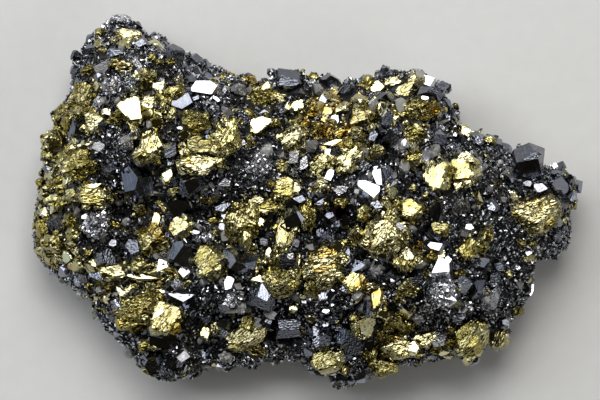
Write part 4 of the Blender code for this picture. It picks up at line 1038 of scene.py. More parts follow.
class Signal:
    """A number that changes over a surface: a shader socket with Python's arithmetic."""

    def __init__(self, graph: "Graph", socket: bpy.types.NodeSocket) -> None:
        """Wraps a socket of a graph."""
        self.graph = graph
        self.socket = socket

    def join(self, operation: str, *values: "Signal | float") -> "Signal":
        """A Math node on values.

        Args:
            operation: the node's operation.
            values: its inputs in order.

        Returns:
            What it gives.
        """
        inputs = dict(enumerate(values))
        return self.graph.signal("ShaderNodeMath", {"operation": operation}, inputs, 0)

    def __add__(self, other: "Signal | float") -> "Signal":
        """The sum."""
        return self.join("ADD", self, other)

    __radd__ = __add__

    def __sub__(self, other: "Signal | float") -> "Signal":
        """The difference."""
        return self.join("SUBTRACT", self, other)

    def __rsub__(self, other: float) -> "Signal":
        """The difference from a plain number."""
        return self.join("SUBTRACT", other, self)

    def __mul__(self, other: "Signal | float") -> "Signal":
        """The product."""
        return self.join("MULTIPLY", self, other)

    __rmul__ = __mul__

    def __pow__(self, other: "Signal | float") -> "Signal":
        """The power."""
        return self.join("POWER", self, other)

    def between(self, low: float, high: float) -> "Signal":
        """Rises smoothly from 0 to 1 while the signal goes from low to high."""
        inputs = {"Value": self, "From Min": low, "From Max": high}
        return self.graph.signal("ShaderNodeMapRange", {"interpolation_type": "SMOOTHSTEP"}, inputs, 0)


class Graph:
    """The node tree of one material, written as expressions."""

    def __init__(self, name: str) -> None:
        """Makes the material with its Principled shader."""
        self.material = bpy.data.materials.new(name)
        self.material.use_nodes = True
        self.tree = self.material.node_tree
        self.shader = self.tree.nodes["Principled BSDF"]

    def node(
        self,
        kind: str,
        settings: dict[str, Any] | None = None,
        inputs: dict[str | int, Any] | None = None,
    ) -> bpy.types.Node:
        """Adds a node.

        Args:
            kind: the node's type.
            settings: its properties, which are set first.
            inputs: a value, a socket or a signal for each input that is set.

        Returns:
            The node.
        """
        made = self.tree.nodes.new(kind)
        for name, value in (settings or {}).items():
            setattr(made, name, value)
        for name, value in (inputs or {}).items():
            self.feed(made.inputs[name], value)
        return made

    def feed(self, socket: bpy.types.NodeSocket, value: Any) -> None:
        """Links or sets an input.

        Args:
            socket: the input.
            value: a signal, a socket, a colour or a number.
        """
        if isinstance(value, Signal):
            value = value.socket
        if isinstance(value, bpy.types.NodeSocket):
            self.tree.links.new(value, socket)
        elif isinstance(value, tuple) and socket.type == "RGBA":
            socket.default_value = (*value, 1.0)
        else:
            socket.default_value = value

    def signal(self, kind: str, settings: dict, inputs: dict, output: str | int) -> Signal:
        """Adds a node and gives one of its outputs as a signal."""
        return Signal(self, self.node(kind, settings, inputs).outputs[output])

    def carried(self, name: str) -> Signal:
        """The number that an attribute of the mesh carries."""
        return self.signal("ShaderNodeAttribute", {"attribute_name": name}, {}, "Fac")

    def skin(self) -> tuple[bpy.types.NodeSocket, Signal, Signal]:
        """A crystal's own place, its tone and how etched it is, at a point of its surface."""
        grain = self.node("ShaderNodeAttribute", {"attribute_name": "grain"}).outputs["Vector"]
        return grain, self.carried("tone"), self.carried("etch")

    def drawn(self, place: Any, by: tuple[float, float, float]) -> bpy.types.NodeSocket:
        """A place multiplied along each axis, so that a texture on it is drawn out or tightened."""
        return self.node("ShaderNodeVectorMath", {"operation": "MULTIPLY"}, {0: place, 1: by}).outputs[0]

    def noise(self, place: Any, scale: float, detail: float = 3.0) -> Signal:
        """Cloudy noise from 0 to 1 over a place, with a scale for each of its units."""
        inputs = {"Vector": place, "Scale": scale, "Detail": detail}
        return self.signal("ShaderNodeTexNoise", {}, inputs, 0)

    def cells(self, place: Any, scale: float, output: str = "Distance") -> Signal:
        """Many small cells: the distance from the nearest one's middle, or its own number."""
        return self.signal("ShaderNodeTexVoronoi", {}, {"Vector": place, "Scale": scale}, output)

    def mix(self, share: Signal | float, start: Any, end: Any) -> bpy.types.NodeSocket:
        """The colour that is a share of the way from one colour to another."""
        inputs = {0: share, 6: start, 7: end}
        return self.node("ShaderNodeMix", {"data_type": "RGBA"}, inputs).outputs[2]

    def bump(self, height: Signal, rise: float, strength: float, below: Any = None) -> Any:
        """A Bump node.

        Args:
            height: from 0 to 1.
            rise: what a height of 1 is, in mm.
            strength: the node's strength.
            below: the normal of a coarser bump under this one.

        Returns:
            The socket of the new normal.
        """
        inputs = {"Strength": strength, "Distance": rise * MM, "Height": height}
        if below is not None:
            inputs["Normal"] = below
        return self.node("ShaderNodeBump", {}, inputs).outputs["Normal"]

    def finish(self, **inputs: Any) -> bpy.types.Material:
        """Feeds the Principled shader, with an underscore for each space of an input's name."""
        for name, value in inputs.items():
            self.feed(self.shader.inputs[name.replace("_", " ")], value)
        return self.material


@dataclass(frozen=True)
class ChalcopyriteFinish:
    """Brass-yellow metal: mirror faces on some crystals, a crumpled and pitted skin on others; painted
    shade darkens the skin's creases and pits.
    """

    name: str
    pale: Colour = (0.78, 0.73, 0.46)
    deep: Colour = (0.40, 0.35, 0.10)
    tarnish: Colour = (0.46, 0.27, 0.03)
    # Painted shade: the dark brown that the creases and pits of an etched skin are darkened towards.
    crease_shade: Colour = (0.075, 0.054, 0.009)
    mirror: float = 0.07
    worn: float = 0.07

    def material(self) -> bpy.types.Material:
        """Makes the material.

        Returns:
            The material.
        """
        graph = Graph(self.name)
        grain, tone, etch = graph.skin()
        drawn = graph.drawn(grain, (0.3, 1.0, 1.0))
        cloud = graph.noise(grain, 0.5)
        # How etched each patch of skin is: it sets the roughness, and how strong the painted shade in the
        # creases and pits is.
        wear_and_crease_shade = etch * (graph.noise(grain, 0.42, 2.0).between(0.36, 0.62) * 0.85 + 0.15)
        ridged = {"noise_type": "RIDGED_MULTIFRACTAL"}
        folds = {"Vector": drawn, "Scale": 1.7, "Detail": 3.0, "Roughness": 0.6}
        creases = graph.signal("ShaderNodeTexNoise", ridged, folds, 0)
        pits = graph.cells(drawn, 3.4)
        shade = tone * 0.6 + cloud * 0.5 + etch * 0.4
        colour = graph.mix(shade.between(0.35, 1.15), self.pale, self.deep)
        amber = graph.carried("amber") * cloud.between(0.4, 0.6)
        colour = graph.mix(cloud.between(0.64, 0.71) * 0.8 + amber * 0.7, colour, self.tarnish)
        # Painted shade: the troughs of the creases and the pits are darkened, more so where the skin is
        # etched.
        colour = graph.mix((1.0 - creases.between(0.08, 0.36)) * (wear_and_crease_shade * 0.8), colour, self.crease_shade)
        colour = graph.mix((1.0 - pits.between(0.1, 0.26)) * (wear_and_crease_shade * 0.8), colour, self.crease_shade)
        rough = wear_and_crease_shade * self.worn + cloud * 0.1 + self.mirror
        wide = graph.bump(creases * etch, 0.22, 1.0)
        normal = graph.bump(pits * (etch + 0.1), 0.09, 1.0, wide)
        return graph.finish(Base_Color=colour, Metallic=1.0, Roughness=rough, Normal=normal)


@dataclass(frozen=True)
class DarkFinish:
    """Black, almost metallic sphalerite: mirror faces on some crystals, etched ones on others."""

    name: str
    dark: Colour = (0.055, 0.062, 0.08)
    light: Colour = (0.35, 0.37, 0.43)
    streak: Colour = (0.42, 0.42, 0.46)
    mirror: float = 0.07

    def material(self) -> bpy.types.Material:
        """Makes the material.

        Returns:
            The material.
        """
        graph = Graph(self.name)
        grain, tone, etch = graph.skin()
        cloud = graph.noise(grain, 0.9)
        fine = graph.noise(grain, 3.2, 2.0)
        lines = graph.noise(graph.drawn(grain, (0.25, 3.4, 0.5)), 1.0, 2.0)
        colour = graph.mix(tone * 0.6 + cloud * 0.4, self.dark, self.light)
        streaks = lines.between(0.56, 0.66) * cloud.between(0.4, 0.6) * 0.6
        colour = graph.mix(streaks, colour, self.streak)
        colour = graph.mix(fine.between(0.5, 0.7) * etch * 0.6, colour, self.streak)
        rough = cloud * 0.12 + self.mirror
        steps = graph.bump(lines, 0.07, 0.7)
        normal = graph.bump(graph.cells(grain, 2.2) * (etch * 0.9 + 0.1), 0.12, 0.8, steps)
        return graph.finish(Base_Color=colour, Metallic=1.0, Roughness=rough, Normal=normal)


@dataclass(frozen=True)
class SilverFinish:
    """Silver-grey galena: bright cleavage faces with fine steps."""

    name: str
    bright: Colour = (0.70, 0.70, 0.73)
    dull: Colour = (0.24, 0.24, 0.27)
    speck: Colour = (0.04, 0.04, 0.05)
    mirror: float = 0.12

    def material(self) -> bpy.types.Material:
        """Makes the material.

        Returns:
            The material.
        """
        graph = Graph(self.name)
        grain, tone, etch = graph.skin()
        cloud = graph.noise(grain, 1.2)
        grit = graph.noise(grain, 3.0, 2.0)
        colour = graph.mix((tone * 0.5 + cloud * 0.5).between(0.3, 0.8), self.bright, self.dull)
        specks = grit.between(0.5, 0.6) * etch.between(0.4, 0.9) * 0.9
        colour = graph.mix(specks, colour, self.speck)
        rough = cloud * 0.2 + self.mirror
        wide = graph.bump(graph.cells(grain, 2.0) * (etch + 0.1), 0.12, 0.7)
        normal = graph.bump(grit * etch, 0.2, 1.0, wide)
        return graph.finish(Base_Color=colour, Metallic=1.0, Roughness=rough, Normal=normal)


@dataclass(frozen=True)
class DruseFinish:
    """Fine crystals of the dark ore, from black to silver-grey, darker with painted shade on open ground
    between the larger crystals.
    """

    name: str
    black: Colour = (0.035, 0.037, 0.045)
    grey: Colour = (0.76, 0.77, 0.80)

    def material(self) -> bpy.types.Material:
        """Makes the material.

        Returns:
            The material.
        """
        graph = Graph(self.name)
        grain, tone, _ = graph.skin()
        cloud = graph.noise(grain, 1.5)
        # Painted shade: the grains on open ground between the larger crystals are darkened, by up to 0.6.
        shade = tone**1.15 * (1.0 - graph.carried("open_ore") * 0.6)
        colour = graph.mix(shade, self.black, self.grey)
        normal = graph.bump(cloud, 0.1, 0.6)
        rough = cloud * 0.24 + 0.1
        return graph.finish(Base_Color=colour, Metallic=1.0, Roughness=rough, Normal=normal)


@dataclass(frozen=True)
class QuartzFinish:
    """Grey translucent quartz with milky veils."""

    name: str
    clear: Colour = (0.72, 0.72, 0.70)
    smoky: Colour = (0.30, 0.29, 0.28)
    see_through: float = 0.5
    ior: float = 1.55

    def material(self) -> bpy.types.Material:
        """Makes the material.

        Returns:
            The material.
        """
        graph = Graph(self.name)
        grain, tone, _ = graph.skin()
        veils = (graph.noise(grain, 1.4) * 0.5 + tone * 0.5).between(0.25, 0.7)
        colour = graph.mix(veils, self.clear, self.smoky)
        normal = graph.bump(graph.cells(grain, 1.8), 0.1, 0.6)
        glass = {"IOR": self.ior, "Transmission_Weight": self.see_through}
        return graph.finish(Base_Color=colour, Roughness=0.1, Normal=normal, **glass)


@dataclass(frozen=True)
class CrustFinish:
    """The ore between the crystals, and the mottled ore of the flat cut."""

    name: str
    dark: Colour = (0.012, 0.013, 0.016)
    grey: Colour = (0.045, 0.048, 0.056)
    sawn_grey: Colour = (0.13, 0.135, 0.15)
    olive: Colour = (0.13, 0.105, 0.035)
    brass: Colour = (0.40, 0.31, 0.10)
    cut_height: float = 0.25

    def material(self) -> bpy.types.Material:
        """Makes the material.

        Returns:
            The material.
        """
        graph = Graph(self.name)
        place = graph.node("ShaderNodeNewGeometry").outputs["Position"]
        level = graph.signal("ShaderNodeSeparateXYZ", {}, {"Vector": place}, "Z")
        cloud = graph.noise(place, 260.0, 5.0)
        blot = graph.noise(place, 120.0)
        grains = graph.cells(place, 760.0, "Color")
        base = graph.mix(cloud.between(0.35, 0.75), self.dark, self.grey)
        rough_ore = graph.mix(blot.between(0.56, 0.62) * 0.06, base, self.brass)
        sawn = graph.mix(grains.between(0.3, 0.8), self.dark, self.sawn_grey)
        golden = graph.mix(grains.between(0.3, 0.7), self.olive, self.brass)
        veins = (blot * 0.62 + grains * 0.38).between(0.545, 0.575)
        sawn = graph.mix(veins, sawn, golden)
        colour = graph.mix(1.0 - level.between(0.0, self.cut_height * MM), rough_ore, sawn)
        normal = graph.bump(cloud, 0.2, 0.5)
        rough = cloud * 0.4 + 0.3
        return graph.finish(Base_Color=colour, Metallic=0.55, Roughness=rough, Normal=normal)


# Crystals are drawn a little larger than what shows of them between their neighbours.
BURIED_GROWTH = 1.2
# How much of a named crystal's length and width must show on each side of its middle.
SHOWN = 0.46
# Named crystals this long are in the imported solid, so their tops lie this far above its surface,
# and those of smaller ones this share of their width above it, in mm.
CARRIED_LENGTH = 2.6
CARRIED_PROUD = 0.2
PROUD_SHARE = 0.34
# How far a crystal's face may turn and tilt from its facing, in degrees.
BEARING_PLAY = 6.0
TILT_PLAY = 3.0
# A crystal's thickness, for each mm of its width.
THICKNESS = 1.1


@dataclass
class OreBody:
    """The surface that crystals grow on, and the named crystals already growing there."""

    ground: Ground
    taken: list[Site] = field(default_factory=list)
    heights: list[float] = field(default_factory=list)

    def stand(self, site: Site, sunk: float) -> Stand:
        """Where a named crystal stands.

        Args:
            site: the crystal.
            sunk: how far its middle is below its broad face, as a share of its half thickness.

        Returns:
            Where it stands.
        """
        bearing, tilt = site.facing.value
        rng = source(f"{site.x} {site.y}")
        bearing += rng.uniform(-BEARING_PLAY, BEARING_PLAY)
        normal = leaning(bearing, tilt + rng.uniform(-TILT_PLAY, TILT_PLAY))
        turn = math.radians(site.turn)
        along = np.array([math.cos(turn), math.sin(turn), 0.0])
        top = self.ground.below(site.x, site.y)
        proud = CARRIED_PROUD if site.length >= CARRIED_LENGTH else PROUD_SHARE * site.width
        half = np.array([site.length, site.width, site.width * THICKNESS]) * BURIED_GROWTH / 2.0
        self.taken.append(site)
        self.heights.append(float(top[2]))
        middle = top + normal * (proud - sunk * half[2])
        return Stand(middle, pose(normal[None], along[None])[0], half)

    def covered(self, points: Array, margins: Array) -> Array:
        """Which points lie on a named crystal or too near it.

        Args:
            points: points of the surface in mm.
            margins: how far outside the crystals each point must be, in mm.

        Returns:
            True for each point that does.
        """
        found = np.zeros(len(points), bool)
        for site, height in zip(self.taken, self.heights):
            turn = math.radians(site.turn)
            away = points[:, :2] - (site.x, site.y)
            along = away @ (math.cos(turn), math.sin(turn)) / (site.length * SHOWN + margins)
            across = away @ (-math.sin(turn), math.cos(turn)) / (site.width * SHOWN + margins)
            near = np.abs(points[:, 2] - height) < site.length
            found |= (np.hypot(along, across) < 1.0) & near
        return found


@dataclass
class Spots:
    """Where the crystals of one mineral stand, and their sizes in mm."""

    points: Array
    normals: Array
    sizes: Array

    def chosen(self, which: Array) -> "Spots":
        """The spots that a mask or a list of numbers picks."""
        return Spots(self.points[which], self.normals[which], self.sizes[which])


# Below this height in mm the lesser crystals are smaller.
RIM_LEVEL = 12.0


@dataclass(frozen=True)
class Sowing:
    """How crystals are scattered over open ground, with lengths in mm.

    density is the tries for each square mm, and low the height that they stay above. Sizes run
    from smallest to largest, with fewer large ones where evenness is small. margin and spacing
    say how clear they keep of the named crystals and of each other, as shares of their size.
    rim_share is how much smaller they are near the rim.
    """

    density: float
    low: float
    smallest: float
    largest: float
    evenness: float
    margin: float
    spacing: float
    rim_share: float = 1.0

    def spots(self, ore: OreBody, rng: Draws) -> Spots:
        """Scatters them where no named crystal covers the ground.

        Args:
            ore: the ore body.
            rng: the random source.

        Returns:
            Where they might stand.
        """
        points, normals = ore.ground.scatter(self.density, self.low, rng)
        sizes = self.smallest + (self.largest - self.smallest) * rng.power(self.evenness, len(points))
        sizes = np.where(points[:, 2] < RIM_LEVEL, sizes * self.rim_share, sizes)
        return Spots(points, normals, sizes).chosen(~ore.covered(points, sizes * self.margin))


LESSER = Sowing(2.2, 0.6, 1.5, 3.4, evenness=0.75, margin=0.28, spacing=0.74, rim_share=0.6)
GRAINS = Sowing(9.0, 0.25, 0.42, 1.1, evenness=0.85, margin=0.24, spacing=0.62)
# How clear a grain keeps of a lesser crystal, as a share of the crystal's size.
GRAIN_CLEARANCE = 0.42


class Mineral(Enum):
    """What a lesser crystal between the named ones is made of."""

    CHALCOPYRITE = "chalcopyrite"
    SPHALERITE = "sphalerite"
    GALENA = "galena"
    QUARTZ = "quartz"
    NONE = "none"


# How the lesser crystals are shared out in patches of fine dark crystals, on open ground and
# where chalcopyrite is rich, in the order of the minerals.
DRUSE_SHARES = (0.04, 0.14, 0.03, 0.05, 0.74)
OPEN_SHARES = (0.25, 0.18, 0.025, 0.055, 0.49)
RICH_SHARES = (0.80, 0.06, 0.02, 0.02, 0.10)
# How often a finer grain is chalcopyrite on open ground, and how much oftener where that is rich.
GOLD_GRAINS = 0.08
GOLD_DUST = 0.5
# Lesser quartz grains are this much smaller than the other lesser crystals.
QUARTZ_SHARE = 0.72
# Bright and clear lesser crystals grow above this height in mm.
BRIGHT_LEVEL = 13.0


@dataclass
class Undergrowth:
    """The lesser crystals and grains that fill the ground between the named crystals."""

    ore: OreBody
    lesser: dict[Mineral, Spots] = field(default_factory=dict)
    grains: dict[Mineral, Spots] = field(default_factory=dict)

    def spread(self) -> None:
        """Finds a place for every lesser crystal and grain."""
        rng = source("undergrowth")
        spots = LESSER.spots(self.ore, rng)
        spots = spots.chosen(np.argsort(-spots.sizes, kind="stable"))
        spots = spots.chosen(thinned(spots.points, spots.sizes * LESSER.spacing))
        choice = rng.uniform(0.0, 1.0, (3, len(spots.points)))
        kinds = np.searchsorted(np.cumsum(OPEN_SHARES), choice[0])
        poor = choice[1] < poverty(spots.points)
        kinds[poor] = np.searchsorted(np.cumsum(DRUSE_SHARES), choice[0][poor])
        rich = choice[2] < riches(spots.points)
        kinds[rich] = np.searchsorted(np.cumsum(RICH_SHARES), choice[0][rich])
        high = spots.points[:, 2] >= BRIGHT_LEVEL
        for number, mineral in enumerate(Mineral):
            everywhere = mineral not in (Mineral.GALENA, Mineral.QUARTZ)
            self.lesser[mineral] = spots.chosen((kinds == number) & (high | everywhere))
        self.lesser[Mineral.QUARTZ].sizes *= QUARTZ_SHARE
        self.sow(spots.chosen(kinds < len(OPEN_SHARES) - 1), rng)

    def sow(self, above: Spots, rng: Draws) -> None:
        """Places the grains, clear of the lesser crystals above them.

        Args:
            above: the lesser crystals.
            rng: the random source.
        """
        spots = GRAINS.spots(self.ore, rng)
        everything = np.concatenate([above.points, spots.points])
        reaches = np.concatenate([above.sizes * GRAIN_CLEARANCE, spots.sizes * GRAINS.spacing])
        kept = thinned(everything, reaches) - len(above.points)
        spots = spots.chosen(kept[kept >= 0])
        share = GOLD_GRAINS * (1.0 - poverty(spots.points)) + GOLD_DUST * riches(spots.points)
        golden = rng.uniform(0.0, 1.0, len(spots.points)) < share
        self.grains = {
            Mineral.CHALCOPYRITE: spots.chosen(golden),
            Mineral.SPHALERITE: spots.chosen(~golden),
        }


# The least and most that a crystal's half sizes may be, as shares of its size, and how much of
# its half thickness is in the ground.
SHAPES = ((0.5, 0.42, 0.45), (0.68, 0.6, 0.7))
ROOTED = 0.15


def plant(mass: Mass, spots: Spots, habit: Habit, spread: float) -> None:
    """Stands plane-faced crystals of one habit on the ground.

    Args:
        mass: the mass that they join.
        spots: where they stand.
        habit: their form.
        spread: how far they lean from the ground's normal.
    """
    if not len(spots.points):
        return
    rng = source(f"{mass.name} {habit.value} {len(spots.points)}")
    turns = strewn(spots.normals, spread, rng)
    halves = spots.sizes[:, None] * rng.uniform(*SHAPES, spots.points.shape)
    middles = spots.points - turns[:, :, 2] * halves[:, 2:] * ROOTED
    mass.place(habit, middles, turns, halves, rng)


# A named chalcopyrite crystal this long in mm is one of the large ones.
LARGE_LENGTH = 6.0
# One this long in mm has lesser crystals growing out of it.
OFFSHOOT_LENGTH = 3.2
# It has from this many, up to one more for each so many mm of its length, and each is between
# these shares of its size.
FEWEST_OFFSHOOTS = 3
OFFSHOOT_SPACING = 2.4
OFFSHOOT_SHARES = (0.26, 0.54)
# Where an offshoot's middle lies, in half sizes of the large crystal: how far out and how high,
# and how much nearer and lower for each share of its size that the offshoot has.
OFFSHOOT_OUT = 1.02
OFFSHOOT_UP = (0.3, 0.62)
NEARER = 0.6
LOWER = 0.56
# How far it leans and turns from the large one.
OFFSHOOT_LEAN = 0.2
OFFSHOOT_TURN = 0.4
# How often the smallest chalcopyrite crystals are divided, and each length in mm from which they
# are divided once more.
COARSEST_LEVEL = 2
DETAIL_LENGTHS = (1.9, 3.4, 6.2, 10.0)
# The skins of the lesser chalcopyrite crystals, and how often each is seen.
LESSER_SKINS = (SATIN, GRANULAR, STRIATED, SMOOTH, FANNED)
SKIN_SHARES = (0.3, 0.3, 0.2, 0.1, 0.1)


def detail_level(length: float) -> int:
    """How finely a chalcopyrite crystal of a length in mm is divided."""
    return COARSEST_LEVEL + sum(length >= limit for limit in DETAIL_LENGTHS)


@dataclass
class ChalcopyriteCrystals:
    """The brassy crystals: the named ones, and the lesser ones around them.

    sunk is how far a named one's middle is below its broad face, and rooted the same for a
    lesser one and the ground, as shares of the half thickness. length, widths and thickness are
    a lesser one's half sizes, as shares of its size. lean and grain_lean are how far the lesser
    ones and the grains lean.
    """

    ore: OreBody
    undergrowth: Undergrowth
    sunk: float = 0.55
    rooted: float = 0.25
    length: float = 0.62
    widths: tuple[float, float] = (0.42, 0.58)
    thickness: float = 0.5
    lean: float = 0.3
    grain_lean: float = 0.5

    def named(self) -> list[Mass]:
        """The crystals told apart in the plan.

        Returns:
            The large ones and the small ones.
        """
        large, small = Mass("chalcopyrite_large_crystals"), Mass("chalcopyrite_small_crystals")
        for number, site in enumerate(GOLD_SITES):
            rng = source(f"chalcopyrite {number}")
            stand = self.ore.stand(site, self.sunk)
            mass = large if site.length >= LARGE_LENGTH else small
            mass.grow(site.form, stand, detail_level(site.length), rng)
            if site.length >= OFFSHOOT_LENGTH and site.form is not SMOOTH:
                self.branch(mass, site, stand, rng)
        return [large, small]

    def branch(self, mass: Mass, site: Site, stand: Stand, rng: Draws) -> None:
        """Grows lesser crystals out of a large one, nearly parallel to it.

        Args:
            mass: the mass that they join.
            site: the large crystal.
            stand: where it stands.
            rng: the random source.
        """
        turn = stand.turn
        most = FEWEST_OFFSHOOTS + int(site.length / OFFSHOOT_SPACING)
        count = int(rng.integers(FEWEST_OFFSHOOTS, most + 1))
        for bearing in rng.uniform(0.0, 2.0 * math.pi, count):
            share = rng.uniform(*OFFSHOOT_SHARES)
            away = np.array([math.cos(bearing), math.sin(bearing), 0.0])
            away *= OFFSHOOT_OUT - NEARER * share
            away[2] = rng.uniform(*OFFSHOOT_UP) - LOWER * share
            normal = wander(turn[None, :, 2], OFFSHOOT_LEAN, rng)
            along = turn[None, :, 0] + rng.normal(0.0, OFFSHOOT_TURN, (1, 3))
            own = pose(normal, along)[0]
            place = stand.middle + (away * stand.half) @ turn.T
            level = detail_level(site.length * share)
            mass.grow(site.form, Stand(place, own, stand.half * share), level, rng)

    def lesser(self) -> list[Mass]:
        """The chalcopyrite between the named crystals.

        Returns:
            The lesser crystals and the grains.
        """
        rng = source("lesser chalcopyrite")
        mass = Mass("chalcopyrite_lesser_crystals")
        spots = self.undergrowth.lesser[Mineral.CHALCOPYRITE]
        turns = strewn(spots.normals, self.lean, rng)
        for point, turn, size in zip(spots.points, turns, spots.sizes):
            skin = LESSER_SKINS[rng.choice(len(LESSER_SKINS), p=SKIN_SHARES)]
            half = size * np.array([self.length, rng.uniform(*self.widths), self.thickness])
            stand = Stand(point - turn[:, 2] * half[2] * self.rooted, turn, half)
            mass.grow(skin, stand, detail_level(size), rng)
        grains = Mass("chalcopyrite_grains")
        plant(grains, self.undergrowth.grains[Mineral.CHALCOPYRITE], GRAIN, self.grain_lean)
        return [mass, grains]


# How many small crystals there are on each square mm of a rough mound, their half sizes in mm,
# how much of the mound's half sizes they stand at, how strongly they gather towards its top,
# how far they lean, and how large the mound under them is.
HEAP_DENSITY = 5.0
HEAP_SIZES = (0.25, 0.55)
HEAP_REACH = (0.84, 0.84, 0.66)
HEAP_UPWARD = 0.9
HEAP_LEAN = 0.35
MOUND_SHARE = 0.86
# The half sizes of the small crystals at a crystal's foot, as shares of its width, how far up or
# down its side they are, as a share of its half thickness, and how far they lean.
FOOT_SIZES = (0.08, 0.17)
FOOT_RISE = 0.2
FOOT_LEAN = 0.5
# A crystal this long in mm has all its satellites, and a shorter one fewer.
FULL_FOOT_LENGTH = 4.0
# How much longer or shorter than its size each side of such a small crystal may be.
SIDE_PLAY = (0.7, 1.2)


@dataclass
class PlaneCrystals:
    """Crystals with plane faces of one mineral: the named ones, and the lesser ones around them.

    satellites is how many smaller ones a long crystal has at its foot, and etched how broken the
    most etched skin is. sunk is how far a named one's middle is below its broad face, as a share
    of its half thickness, and lean how far the lesser ones lean.
    """

    ore: OreBody
    undergrowth: Undergrowth
    name: str
    mineral: Mineral
    sites: tuple[Site, ...]
    habits: tuple[Habit, ...]
    satellites: int = 4
    etched: float = 0.4
    sunk: float = 0.36
    lean: float = 0.4

    def named(self) -> list[Mass]:
        """The crystals told apart in the plan, each with a few smaller ones at its foot.

        Returns:
            One mass.
        """
        mass = Mass(self.name)
        for number, site in enumerate(self.sites):
            rng = source(f"{self.name} {number}")
            stand = self.ore.stand(site, self.sunk)
            body = stand.half * MOUND_SHARE if site.form is ROUGH else stand.half
            mass.place(site.form, stand.middle[None], stand.turn[None], body[None], rng, self.etched)
            if site.form is ROUGH:
                self.heap(mass, site, stand, rng)
            self.flank(mass, site, stand, rng)
        return [mass]

    def heap(self, mass: Mass, site: Site, stand: Stand, rng: Draws) -> None:
        """Covers a rough mound with small steep crystals.

        Args:
            mass: the mass that they join.
            site: the mound.
            stand: where it stands.
            rng: the random source.
        """
        count = int(HEAP_DENSITY * site.length * site.width)
        around = unit(rng.normal(0.0, 1.0, (count, 3)) + (0.0, 0.0, HEAP_UPWARD))
        around[:, 2] = np.abs(around[:, 2])
        middles = stand.middle + (around * stand.half * HEAP_REACH) @ stand.turn.T
        turns = strewn(around @ stand.turn.T, HEAP_LEAN, rng)
        sizes = rng.uniform(*HEAP_SIZES, (count, 1)) * rng.uniform(*SIDE_PLAY, (count, 3))
        mass.place(LUMP, middles, turns, sizes, rng)

    def flank(self, mass: Mass, site: Site, stand: Stand, rng: Draws) -> None:
        """Grows smaller crystals at the foot of a named one.

        Args:
            mass: the mass that they join.
            site: the named crystal.
            stand: where it stands.
            rng: the random source.
        """
        count = int(self.satellites * min(1.0, site.length / FULL_FOOT_LENGTH))
        if not count:
            return
        bearings = rng.uniform(0.0, 2.0 * math.pi, count)
        rises = rng.uniform(-FOOT_RISE, FOOT_RISE, count)
        around = np.stack([np.cos(bearings), np.sin(bearings), rises], -1)
        middles = stand.middle + (around * stand.half) @ stand.turn.T
        turns = strewn(np.tile(stand.turn[:, 2], (count, 1)), FOOT_LEAN, rng)
        sizes = rng.uniform(*FOOT_SIZES, (count, 1)) * site.width
        sizes = sizes * rng.uniform(*SIDE_PLAY, (count, 3))
        mass.place(GRAIN, middles, turns, sizes, rng)

    def lesser(self) -> list[Mass]:
        """The crystals that fill the ground between the named ones.

        Returns:
            One mass.
        """
        mass = Mass(f"{self.name}_lesser")
        spots = self.undergrowth.lesser[self.mineral]
        picks = source(f"{self.name} habits").integers(0, len(self.habits), len(spots.points))
        for pick, habit in enumerate(self.habits):
            plant(mass, spots.chosen(picks == pick), habit, self.lean)
        return [mass]


@dataclass
class Druse:
    """The fine dark crystals, in one piece above a height in mm and another below it."""

    undergrowth: Undergrowth
    crown_level: float = 14.0
    lean: float = 0.6

    def build(self) -> list[Mass]:
        """Plants the crystals.

        Returns:
            Those of the crown and those of the flanks.
        """
        grains = self.undergrowth.grains[Mineral.SPHALERITE]
        high = grains.points[:, 2] > self.crown_level
        crown, flank = Mass("crown_druse"), Mass("flank_druse")
        plant(crown, grains.chosen(high), GRAIN, self.lean)
        plant(flank, grains.chosen(~high), GRAIN, self.lean)
        return [crown, flank]


@dataclass
class Crust:
    """The ore that the crystals grow from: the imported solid's own shape, a little sunk, in mm.

    waves is how tight its hollows and humps are, for each mm. hollow is how much deeper than the
    sunk surface they lie on the whole, as a share of relief, and edge a margin for the flat cut.
    """

    ground: Ground
    voxel: float = 0.7
    sunk: float = 0.45
    relief: float = 0.3
    waves: float = 0.9
    hollow: float = 0.4
    edge: float = 0.1

    def build(self) -> bpy.types.Object:
        """Remeshes the solid evenly and roughens all of it but the flat cut.

        Returns:
            The crust.
        """
        made = linked("ore_crust", self.ground.node.data.copy())
        even = made.modifiers.new("even", "REMESH")
        even.mode = "VOXEL"
        even.voxel_size = self.voxel * MM
        seen = made.evaluated_get(bpy.context.evaluated_depsgraph_get())
        mesh = bpy.data.meshes.new_from_object(seen)
        made.data = mesh
        made.modifiers.clear()
        mesh.name = made.name
        mesh.materials.clear()
        points = trued_corners(mesh)
        normals = np.array([normal.vector[:] for normal in mesh.vertex_normals])
        rough = np.array([noise.noise(Vector(point) * self.waves) for point in points])
        points = points - normals * (self.sunk + self.relief * (rough[:, None] + self.hollow))
        cut = points[:, 2] < self.sunk + self.relief + self.edge
        points[cut, 2] = np.maximum(points[cut, 2] - self.sunk - self.relief, 0.0)
        mesh.vertices.foreach_set("co", (points * MM).astype(np.float32).ravel())
        mesh.update()
        return made


class Lamp(NamedTuple):
    """A square soft light that faces the specimen.

    bearing is where it stands in the plan and lean its angle from straight above, in degrees.
    solid is the solid angle that it fills, in steradians, and radiance how bright it is.
    """

    name: str
    bearing: float
    lean: float
    solid: float
    radiance: float
    colour: Colour


LAMPS = each(
    Lamp,
    ("key", 90.0, 38.0, 0.4, 4.4, (1.0, 0.99, 0.97)),
    ("left", 150.0, 48.0, 0.3, 2.9, (0.98, 0.99, 1.0)),
    ("top", 95.0, 36.0, 1.7, 0.3, (1.0, 1.0, 1.0)),
    ("front", -35.0, 52.0, 0.2, 1.6, (1.0, 0.99, 0.97)),
    ("left_low", 175.0, 78.0, 0.8, 0.7, (0.72, 0.84, 1.0)),
    ("right_low", 10.0, 72.0, 0.5, 0.55, (0.9, 0.94, 1.0)),
)


